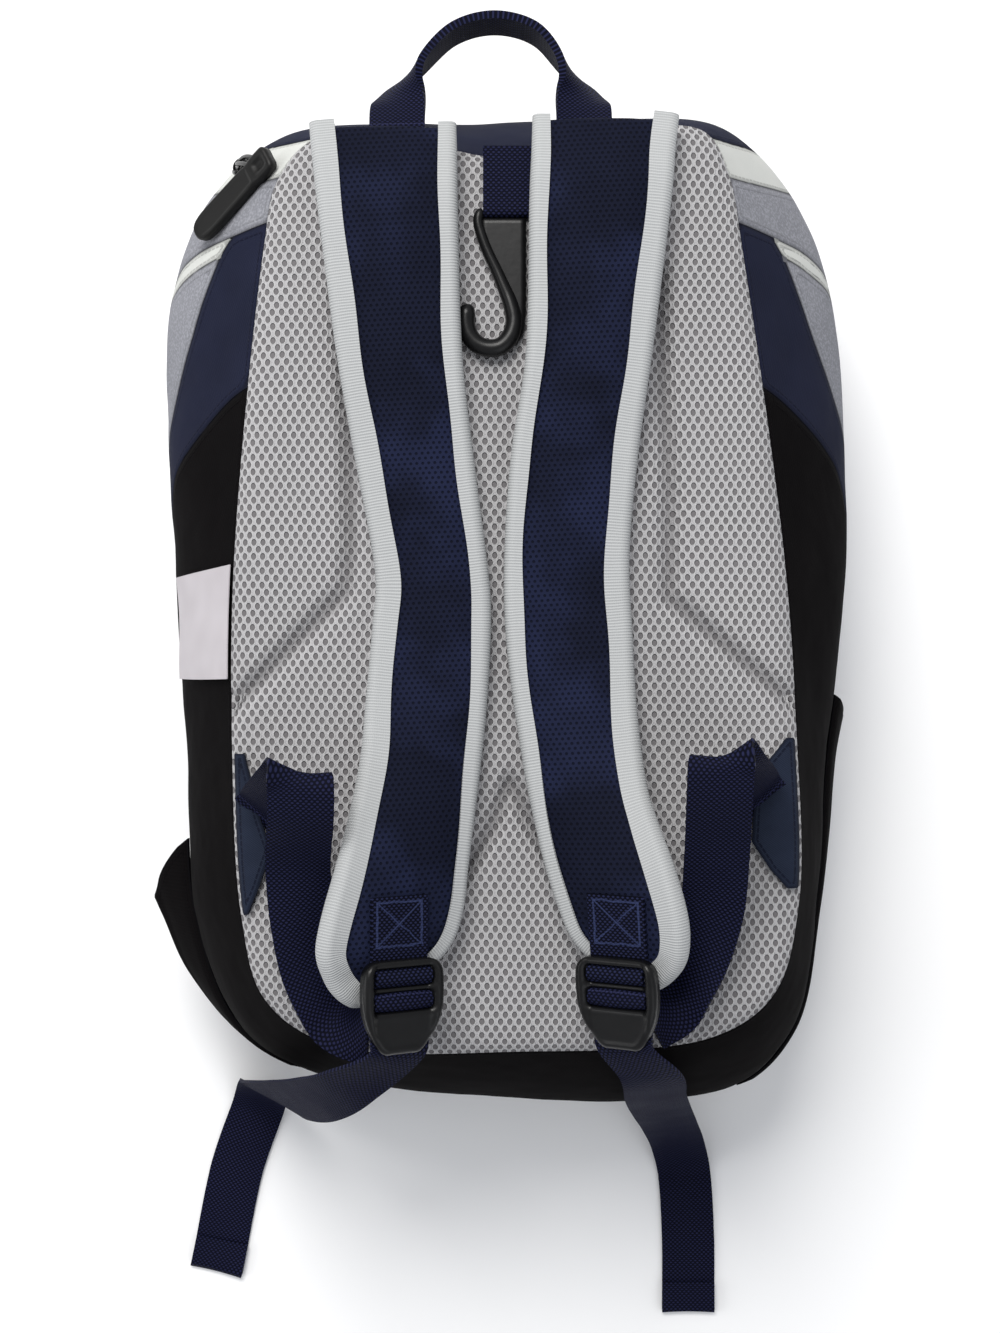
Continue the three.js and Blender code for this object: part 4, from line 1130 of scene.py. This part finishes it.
def woven_webbing():
    finish = Finish("webbing", 0.75, 0.05)
    across, along, _ = finish.parts(finish.chart("cloth"))
    sway = finish.cloud(0.006, 1) * 0.5
    dash = staggered(across, along + sway, 2.1, 1.0, 0.72, 0.5).fade(0.55, 1.1)
    ribs = (along * (2 * math.pi / 2)).sin() * 0.5 + 0.5
    wear = finish.cloud(0.02, 3)
    colour = finish.mix(dash, shade(7, 8, 18), shade(38, 41, 72))
    colour = finish.mix(wear * 0.5, colour, shade(15, 17, 34))
    stitch_row = (((along - 3).away()).fade(0.2, 0.45)) * (across / 1.6).fract().fade(0.7, 0.85)
    colour = finish.mix(stitch_row * 0.7, colour, shade(50, 53, 86))
    finish.finish(colour, dash * 0.24 + ribs * 0.08 + stitch_row * 0.25, wear * 0.2 + 0.55)
    return finish


webbing_finish = woven_webbing()


def stitched_tab():
    """Webbing with the tab's stitched box and cross, whose edges wander a little."""
    finish = Finish("tab_webbing", 0.75, 0.05)
    across, along, _ = finish.parts(finish.chart("cloth"))
    dash = staggered(across, along, 2.1, 1.0, 0.72, 0.5).fade(0.55, 1.1)
    sway = (finish.cloud(0.004, 2) - 0.5) * 1.6
    middle, down = (across - 12.3 + sway).away(), (along - 10.5 + sway).away()
    box = finish.node("ShaderNodeMath", {"operation": "MAXIMUM"}, {0: middle * 0.86, 1: down})
    lines = (box - 8.4).away().fade(0.3, 0.6) + (middle * 0.86 - down).away().fade(0.3, 0.6)
    within = box.fade(8.7, 9.0)
    threads = finish.node("ShaderNodeMath", {"operation": "MINIMUM"}, {0: lines * within, 1: 1.0})
    colour = finish.mix(dash, shade(9, 10, 20), shade(36, 40, 68))
    colour = finish.mix(threads * 0.75, colour, shade(52, 60, 94))
    finish.finish(colour, dash * 0.24 + threads * 0.35)
    return finish


tab_finish = stitched_tab()


def webbing(name, points, across, node, width=webbing_width, wall=webbing_wall, cupped=0,
            finish=webbing_finish):
    strip, length = tape(points, across, width, wall, cupped)
    return sew_in(name, strip, finish, [node], wall * 0.95, 0), length


def roll_over(tab, start, end):
    """Places where the webbing comes up through a slot, rolls over and goes down."""
    low, top = 1.5 * mm, lock_base + 3.4 * mm
    reach = end - start
    shares = ((0.02, 0), (0.1, 0.55), (0.3, 0.92), (0.5, 1), (0.7, 0.92), (0.9, 0.55), (0.98, 0))
    return [
        place_at(tab, 0, start + reach * along, low + (top - low) * up) for along, up in shares
    ]


for side_name, side in (("left", -1), ("right", 1)):
    tab = tab_frame(strap_rows[side_name])
    _, outward, down, face = tab
    tab_points = [place_at(tab, 0, along, under_lock) for along in (
        -tab_length / 2, 0, tab_length / 2, lock_start + 1 * mm,
    )]
    tab_points = np.array(tab_points + roll_over(tab, slot_one, slot_one + slot_length))
    webbing(
        side_name + "_tab", tab_points, np.tile(outward, (len(tab_points), 1)),
        side_name + "_buckle_tab", webbing_width - seam_gap * 2, finish=tab_finish,
    )
    loop_points, loop_across = tape_rows(loop_routes[side_name])
    loop_points = np.concatenate([
        loop_points, [place_at(tab, 7 * mm, lock_end - 5 * mm, -10.5 * mm)],
    ])
    loop_across = np.concatenate([loop_across, [face - down]])
    lower, lower_length = webbing(
        side_name + "_lower_strap", loop_points, loop_across, side_name + "_lower_webbing",
        cupped=0.6 * mm,
    )
    route, route_across = tape_rows(tail_routes[side_name])
    start = roll_over(tab, slot_two, slots_end) + [
        place_at(tab, 0, lock_end - 8 * mm, under_lock), place_at(tab, 0, lock_end, under_lock),
    ]
    tail_points = np.concatenate([start, route])
    tail_across = np.concatenate([np.tile(outward * side, (len(start), 1)), route_across])
    tail, tail_length = webbing(
        side_name + "_tail_strap", tail_points, tail_across, side_name + "_webbing_tail",
        cupped=0.5 * mm,
    )


# Carry handle: 22 mm webbing folded double and sewn into the yoke at both ends,
# slack over the top of the bag so that it stands on its edge there.
handle_points, handle_across = tape_rows((
    (-0.3, 0.88, 1.008, 0, 0),
    (-0.3, 0.935, 0.965, 0, 10),
    (-0.29, 0.98, 0.925, 0, 50),
    (-0.245, 1.025, 0.905, 20, 82),
    (-0.15, 1.09, 0.9, 40, 90),
    (-0.04, 1.11, 0.9, 90, 90),
    (0.07, 1.09, 0.9, 140, 90),
    (0.145, 1.03, 0.905, 160, 82),
    (0.19, 0.98, 0.925, 180, 50),
    (0.2, 0.935, 0.965, 180, 10),
    (0.2, 0.88, 1.008, 180, 0),
))
webbing("handle_strap", handle_points, handle_across, "carry_handle", 22 * mm, 3.3 * mm)


# Ladder locks: moulded black plastic, with dished rails round two slots and a
# solid plate that narrows to its lower end. Places are in the tab's frame.
def rounded(depth, radius):
    """How far a moulded face drops at a depth inside its edge."""
    gap = np.clip(radius - depth, 0, radius)
    return radius - np.sqrt(radius ** 2 - gap ** 2)


def moulded(rim, slots, step, height):
    """A plate cut to a rim, less its slots, whose face height() shapes and whose back is flat."""
    low, high = rim.min(axis=0), rim.max(axis=0)
    cells = np.ceil((high - low) / step).astype(int)
    plate, _ = cloth_grid(*cells, lambda u, v: np.column_stack([
        low[0] + u * (high[0] - low[0]), low[1] + v * (high[1] - low[1]), u * 0,
    ]))

    def depth(points):
        flat = points[:, :2]
        lines = [np.concatenate([line, line[:1]]) for line in (rim, *slots)]
        edge = np.min([nearest_on(flat, line)[0] for line in lines], axis=0)
        within = inside(flat, rim)
        for slot in slots:
            within &= ~inside(flat, slot)
        return np.where(within, edge, -edge)

    trim(plate, lambda points: -depth(points), 0.05 * mm)
    points = np.array([vertex.co for vertex in plate.verts])
    heights = height(points[:, 0], points[:, 1], np.maximum(depth(points), 0))
    for vertex, z in zip(plate.verts, heights):
        vertex.co.z = z
    rim_edges = [edge for edge in plate.edges if edge.is_boundary]
    copied = bmesh.ops.duplicate(plate, geom=[*plate.verts, *plate.edges, *plate.faces])
    twins = copied["vert_map"]
    for vertex in [item for item in copied["geom"] if isinstance(item, bmesh.types.BMVert)]:
        vertex.co.z = 0
    for edge in rim_edges:
        first, last = edge.verts
        plate.faces.new((first, last, twins[last], twins[first]))
    face_out(plate)
    return plate


def set_down(plate, place):
    """Moves a plate's own x, y and z to where place() puts them."""
    for vertex in plate.verts:
        vertex.co = place(*vertex.co)
    face_out(plate)


def mirrored(half_rim):
    """A closed rim from its right half, which runs from the top down."""
    half_rim = smooth_through(np.array(half_rim) * mm, 5)
    return np.concatenate([half_rim, half_rim[::-1] * (-1, 1)])


def box_rim(half, low, high):
    """A slot with its corners cut."""
    corner = 1.0 * mm
    return np.array([
        (-half + corner, low), (half - corner, low), (half, low + corner),
        (half, high - corner), (half - corner, high), (-half + corner, high),
        (-half, high - corner), (-half, low + corner),
    ])


def plastic(name, dark, light, roughness):
    finish = Finish(name, roughness, 0.28)
    scuffs = finish.cloud(0.004, 4)
    wide = finish.cloud(0.03, 2)
    colour = finish.mix(scuffs * 0.5 + wide * 0.4, dark, light)
    finish.finish(colour, scuffs * 0.05, scuffs * 0.14 + roughness - 0.07)
    return finish


black_plastic = plastic("black_plastic", shade(6, 6, 7), shade(18, 18, 19), 0.34)
lock_rim = mirrored((
    (0, 12.9), (9, 12.9), (13.6, 13.5), (16.4, 16), (17.4, 21), (17.5, 26), (17.0, 32), (15.2, 38),
    (12.2, 43.5), (9.6, 47.2), (7.0, 48.9), (3.5, 49.0), (0, 49.0),
))
rail_half = lock_width / 2 - 4.7 * mm
lock_slots = [box_rim(rail_half, low, low + slot_length) for low in (slot_one, slot_two)]


def lock_face(x, y, depth):
    rail = np.clip((abs(x) - rail_half + 1.2 * mm) / (2.4 * mm), 0, 1)
    tongue = np.clip((y - slots_end) / (lock_end - slots_end), 0, 1)
    ridge = np.exp(-((depth - 2.0 * mm) / (0.7 * mm)) ** 2) * 0.5 * mm
    on_divider = (y > slot_one + slot_length - mm) & (y < slot_two + mm)
    drop = 1.6 * mm * (1 - rail) * on_divider
    height = 3.6 * mm + rail * 0.9 * mm - tongue * 0.9 * mm + ridge * (rail + tongue) - drop
    return height - rounded(depth, 1.3 * mm)


for side_name in ("left", "right"):
    tab = tab_frame(strap_rows[side_name])
    lock = moulded(lock_rim, lock_slots, 0.8 * mm, lock_face)
    set_down(lock, lambda x, y, z: place_at(tab, x, y, lock_base + z))
    sew_in(side_name + "_lock", lock, black_plastic, [side_name + "_ladder_lock"])


# Fence hook: a moulded J with a round bar along its inner edge and a flat web
# beside the shank, on a doubled loop of webbing stitched between the straps.
def tube(route, radii, sides):
    """A bar round a route with a radius for each point, closed at its rounded ends."""
    run = unit(np.gradient(route, axis=0))
    across = unit(np.cross(run, (0, 0, 1)))
    up = np.cross(across, run)

    def surface(turn, share):
        place = np.rint(share * (len(route) - 1)).astype(int)
        angle = turn * 2 * math.pi
        return (route[place] + across[place] * (np.cos(angle) * radii[place])[:, None]
                + up[place] * (np.sin(angle) * radii[place])[:, None])

    bar, _ = cloth_grid(sides, len(route) - 1, surface)
    close_up(bar, 0.01 * mm)
    return bar


def rounded_ends(radii, first, last):
    """Radii that close in over the first and last steps."""
    radii = np.array(radii, float)
    for index in range(first):
        radii[index] *= math.sqrt(1 - (1 - index / first) ** 2) + 0.02
    for index in range(last):
        radii[-1 - index] *= math.sqrt(1 - (1 - index / last) ** 2) + 0.02
    return radii


def join(target, other):
    """Puts the other sheet into the target."""
    holder = bpy.data.meshes.new("holder")
    other.to_mesh(holder)
    other.free()
    target.from_mesh(holder)
    bpy.data.meshes.remove(holder)


hook_rows = np.array((
    (-11.2, 157.5, 1.9), (-12.4, 152.5, 2.0), (-11.0, 146.5, 2.1), (-8.4, 139.7, 2.2),
    (-5.2, 133.0, 2.3), (-2.4, 126.5, 2.6), (0.4, 119.5, 3.0), (1.8, 112.3, 3.3),
    (0.2, 106.4, 3.5), (-3.4, 102.6, 3.6), (-7.8, 101.8, 3.6), (-12.4, 103.2, 3.6),
    (-15.6, 106.6, 3.6), (-17.0, 111.0, 3.6), (-16.9, 115.4, 3.6), (-15.2, 119.2, 3.4),
)) * mm
hook_lift = 2.8 * mm
hook_line = smooth_through(hook_rows, 6)
hook_heights = harness_base + np.maximum(hook_line[:, 2], hook_lift)
hook_route = np.column_stack([hook_line[:, :2], hook_heights])
hook_bar = tube(hook_route, rounded_ends(hook_line[:, 2], 5, 7), 18)
web_rim = smooth_through(np.array((
    (-11.0, 153.6), (-11.2, 148.0), (-8.6, 139.7), (-5.4, 133.0), (-2.6, 126.5),
    (0.0, 119.5), (1.4, 112.3), (-0.2, 106.2), (2.6, 104.2), (5.4, 107.8),
    (6.3, 114.0), (6.6, 124.0), (6.6, 139.0), (6.6, 153.6),
)) * mm, 4)


def web_face(x, y, depth):
    return 3.2 * mm - rounded(depth, 0.9 * mm)


hook_web = moulded(web_rim, [], 1.2 * mm, web_face)
set_down(hook_web, lambda x, y, z: Vector((x, y, harness_base + z)))
join(hook_bar, hook_web)
sew_in("fence_hook_body", hook_bar, black_plastic, ["fence_hook"])

hook_middle = 0.014 * half_width
hook_loop_rows = np.array((
    (182.0, 0.75), (170, 0.75), (158, 0.75), (155.2, 0.9), (154.4, 1.6), (155.2, 2.3), (158, 2.45),
    (170, 2.45), (182.0, 2.45),
)) * mm
hook_loop_points = np.column_stack([
    np.full(len(hook_loop_rows), hook_middle), hook_loop_rows[:, 0],
    harness_base + hook_loop_rows[:, 1],
])
hook_loop_across = np.tile((1.0, 0, 0), (len(hook_loop_points), 1))
webbing("hook_loop", hook_loop_points, hook_loop_across, "hook_webbing", wall=1.4 * mm)


# Main zipper's slider with a long wire bail, and its pull: a soft rubber bar with a
# raised rim and a square loop at its upper end, turned a little towards the back.
def body_spot(around, rise, clear):
    """A place above the body's cloth, and the cloth's normal there."""
    point = body_point(np.array([around]), np.array([rise]))[0]
    normal = body_normal(np.array([around]), np.array([rise]))[0]
    return point + normal * clear, normal


pull_clear = 5.6 * mm
pull_turn = 1.4
pull_start, _ = body_spot(17.36, 0.96, pull_clear)
pull_end, _ = body_spot(16.36, 0.79, pull_clear)
_, pull_out = body_spot(16.86, 0.875, 0)
pull_out = pull_out + (0, 0, pull_turn)
pull_along = unit(pull_end - pull_start)
pull_side = unit(np.cross(pull_out, pull_along))
pull_face = np.cross(pull_along, pull_side)

slider_around, slider_rise = 17.28, 0.78
slider_place, slider_up = body_spot(slider_around, slider_rise, seam_gap)
slider_ends = [body_spot(slider_around + step, slider_rise, 0)[0] for step in (-0.1, 0.1)]
slider_along = unit(slider_ends[1] - slider_ends[0])
slider_side = np.cross(slider_up, slider_along)
slider_rim = mirrored((
    (0, -4.5), (2.4, -4.4), (3.4, -3.2), (2.9, 0), (3.6, 3.0), (2.6, 4.3), (0, 4.5),
))
slider = moulded(
    slider_rim, [], 0.5 * mm, lambda x, y, depth: 2.2 * mm - rounded(depth, 0.8 * mm),
)
bridge_angle = np.linspace(0, math.pi, 15)
bridge_route = np.column_stack([
    np.zeros(15), -3.0 * mm * np.cos(bridge_angle), 1.8 * mm + 2.0 * mm * np.sin(bridge_angle),
])
join(slider, tube(bridge_route + (1e-6, 0, 0), np.full(15, 0.6 * mm), 8))
set_down(slider, lambda x, y, z: Vector(
    slider_place + slider_side * x + slider_along * y + slider_up * z
))
bridge_top = slider_place + slider_up * 3.0 * mm
bail_middle = (bridge_top + pull_start + pull_along * 6 * mm - pull_face * 1.2 * mm) / 2
bail_turn = np.linspace(0, 2 * math.pi, 41)[:, None]
bail_side = unit(np.cross(slider_up, bridge_top - bail_middle))
bail_route = (
    bail_middle + (bridge_top - bail_middle) * np.cos(bail_turn)
    + bail_side * 2.0 * mm * np.sin(bail_turn) + slider_up * 2.5 * mm * np.sin(bail_turn) ** 2
)
join(slider, tube(bail_route, np.full(41, 0.9 * mm), 8))
sew_in("main_zip_slider", slider, black_plastic, ["zip_slider"])

pull_rim = mirrored((
    (0, 0), (3.6, 0.1), (5.3, 1.2), (5.7, 4), (5.6, 9), (5.1, 12), (5.3, 16), (5.5, 28), (5.5, 42),
    (4.7, 46.6), (2.9, 49.2), (0, 50),
))


def pull_shape(x, y, depth):
    loop = np.exp(-((x / (2.4 * mm)) ** 4 + ((y - 6 * mm) / (3.0 * mm)) ** 4)) * 1.5 * mm
    inlay = np.clip((depth - 1.4 * mm) / (0.5 * mm), 0, 1) * (y > 13 * mm) * 0.45 * mm
    return 4.0 * mm - rounded(depth, 1.4 * mm) - loop - inlay


zip_pull = moulded(pull_rim, [], 0.7 * mm, pull_shape)
set_down(zip_pull, lambda x, y, z: Vector(
    pull_start + pull_side * x + pull_along * y + pull_face * (z - 2 * mm)
))
puller_rubber = plastic("puller_rubber", shade(8, 8, 7), shade(18, 17, 16), 0.48)
sew_in("zip_pull", zip_pull, puller_rubber, ["zip_puller"])


# Side pockets: one layer of black cloth over each lower side, sewn in round its
# edge and open at a hemmed mouth. The left one stands off in a slack peak.
def side_pocket(name, node, mouth_back, mouth_front, end, bulge):
    def surface(across, along):
        mouth = mouth_back + (mouth_front - mouth_back) * np.minimum(across * 2, 1)
        around = mouth + (end - mouth) * along
        rise = 0.545 - 0.285 * across
        slack_here = np.sin(math.pi * across) * (1 - along) ** 1.3
        crease = np.exp(-((across - 0.46 - 0.1 * along) / 0.06) ** 2) * (1 - along) ** 1.5
        point = body_point(around, rise)
        folds = np.array([noise.noise(Vector(place) * 32) for place in point])
        from_sides = np.minimum(across, 1 - across) * 14
        sewn = np.minimum.reduce([from_sides, (1 - along) * 18, np.ones_like(along)])
        away = (0.4 + 1.5 * sewn) * mm + bulge * (slack_here + crease * 0.14)
        away = away + folds * slack_here * bulge * 0.18
        return point + body_normal(around, rise) * away[:, None]

    pocket, shares = cloth_grid(44, 72, surface)
    chart(pocket, "cloth", shares * (0.05, 0.13))
    face_out(pocket)
    middle = pocket.faces[:][len(pocket.faces) // 2]
    if middle.normal.x * middle.calc_center_median().x < 0:
        bmesh.ops.reverse_faces(pocket, faces=pocket.faces)
    seam_chart(pocket)
    sew_in(name, pocket, black_cloth, [node], 1.3 * mm)


side_pocket("left_pocket_cloth", "left_side_pocket", 13.47, 13.05, 11.05, 17 * mm)
side_pocket("right_pocket_cloth", "right_side_pocket", 5.62, 5.75, 8.95, 6.5 * mm)


# Care label: a blank white satin tape, 30 mm wide, sewn into the left seam and
# lying slackly over the black gusset.
def label_surface(across, along):
    rise = 1 - 0.28 * along
    start = 14.36 + 0.06 * along
    around = start + (14.96 - start) * across
    wave = np.sin(across * 5.1 + along * 1.3) * 0.5 + np.sin(across * 2.2 - along * 2.6) * 0.5
    away = 1.9 * mm + wave * 1.0 * mm * along + 1.2 * mm * along ** 2
    return body_point(around, rise) + body_normal(around, rise) * away[:, None]


def satin():
    finish = Finish("label_tape", 0.42, 0.25, 0.03)
    u, v, _ = finish.parts(finish.chart("cloth"))
    weave = (u * 12).sin() * (v * 6).sin() * 0.5 + 0.5
    glow = finish.cloud(0.018, 1)
    colour = finish.mix(glow, shade(172, 166, 170), shade(198, 193, 197))
    finish.finish(finish.mix(weave * 0.2, colour, shade(166, 161, 165)), weave * 0.04 + glow * 0.3)
    return finish


label_cloth, label_shares = cloth_grid(40, 24, label_surface)
chart(label_cloth, "cloth", label_shares * (53 * mm, 33 * mm))
face_out(label_cloth)
sew_in(
    "care_label_tape", label_cloth, satin(), ["care_label"], 0.5 * mm, 0,
)


# Anchor wings: folded navy twill that takes the lower webbing into the side
# seam, stitched down over the padded panel.
polar_turns = np.linspace(0, places, 2000, endpoint=False)
polar_points = outline("back", polar_turns)
polar_order = np.argsort(np.arctan2(polar_points[:, 1], polar_points[:, 0]))
polar_angles = np.arctan2(polar_points[:, 1], polar_points[:, 0])[polar_order]
polar_reach = np.linalg.norm(polar_points, axis=1)[polar_order]


def panel_height(flat):
    """Height of the padded panel over places given as x and y."""
    angle = np.arctan2(flat[:, 1], flat[:, 0])
    edge = np.interp(angle, polar_angles, polar_reach, period=2 * math.pi)
    padding = np.interp(np.linalg.norm(flat, axis=1) / edge, panel_roll[:, 0], panel_roll[:, 1])
    return panel_base + padding * back_padding


def twill():
    finish = Finish("wing_twill", 0.7, 0.08, 0.02)
    x, y, _ = finish.parts(finish.place())
    lines = ((x + y * 1.4) * 5.2).sin() * 0.5 + 0.5
    stitches, from_seam = stitching(finish, 2.0, 2.6)
    wear = finish.cloud(0.012, 4)
    colour = finish.mix(lines * 0.4 + wear * 0.6, shade(20, 25, 38), shade(42, 50, 68))
    turned_and_shaded = from_seam.fade(0, 1.4)
    # Painted shade: the twill darkens at its edges, where it turns under.
    colour = finish.mix(turned_and_shaded * 0.6, colour, shade(12, 14, 26))
    colour = finish.mix(stitches * 0.7, colour, shade(14, 17, 34))
    height = lines * 0.08 - stitches * 0.25 + wear * 0.3 - turned_and_shaded * 0.4
    finish.finish(colour, height)
    return finish


wing_twill = twill()
wing_rows = {
    "left": (
        (-0.709, -0.275), (-0.662, -0.4), (-0.635, -0.453), (-0.667, -0.52), (-0.701, -0.575),
    ),
    "right": (
        (0.744, -0.245), (0.657, -0.315), (0.647, -0.438), (0.697, -0.49), (0.744, -0.525),
    ),
}
for side_name, side in (("left", -1), ("right", 1)):
    inner_edge = np.array(wing_rows[side_name]) * (half_width, half_length)
    seam_side = polar_points[polar_points[:, 0] * side > 0]
    seam_side = seam_side[np.argsort(seam_side[:, 1])]
    seam_y = np.linspace(inner_edge[-1, 1], inner_edge[0, 1], 14)
    seam_x = np.interp(seam_y, seam_side[:, 1], seam_side[:, 0]) - side * 1.5 * mm
    wing_rim = np.concatenate([inner_edge, np.column_stack([seam_x, seam_y])])
    low, high = wing_rim.min(axis=0), wing_rim.max(axis=0)
    wing, _ = cloth_grid(24, 64, lambda u, v: np.column_stack([
        low[0] + u * (high[0] - low[0]), low[1] + v * (high[1] - low[1]), u * 0,
    ]))
    closed_rim = np.concatenate([wing_rim, wing_rim[:1]])
    trim(wing, lambda points: nearest_on(points[:, :2], closed_rim)[0]
         * np.where(inside(points[:, :2], wing_rim), -1, 1), 0.1 * mm)
    seam_chart(wing)
    heights = panel_height(np.array([vertex.co[:2] for vertex in wing.verts]))
    for vertex, height in zip(wing.verts, heights):
        vertex.co.z = height + 2.6 * mm + noise.noise(vertex.co * 90) * 0.5 * mm
    face_out(wing)
    if wing.faces[:][0].normal.z < 0:
        bmesh.ops.reverse_faces(wing, faces=wing.faces)
    sew_in(
        side_name + "_wing_cloth", wing, wing_twill,
        [side_name + "_anchor_wing"], 1.5 * mm,
    )
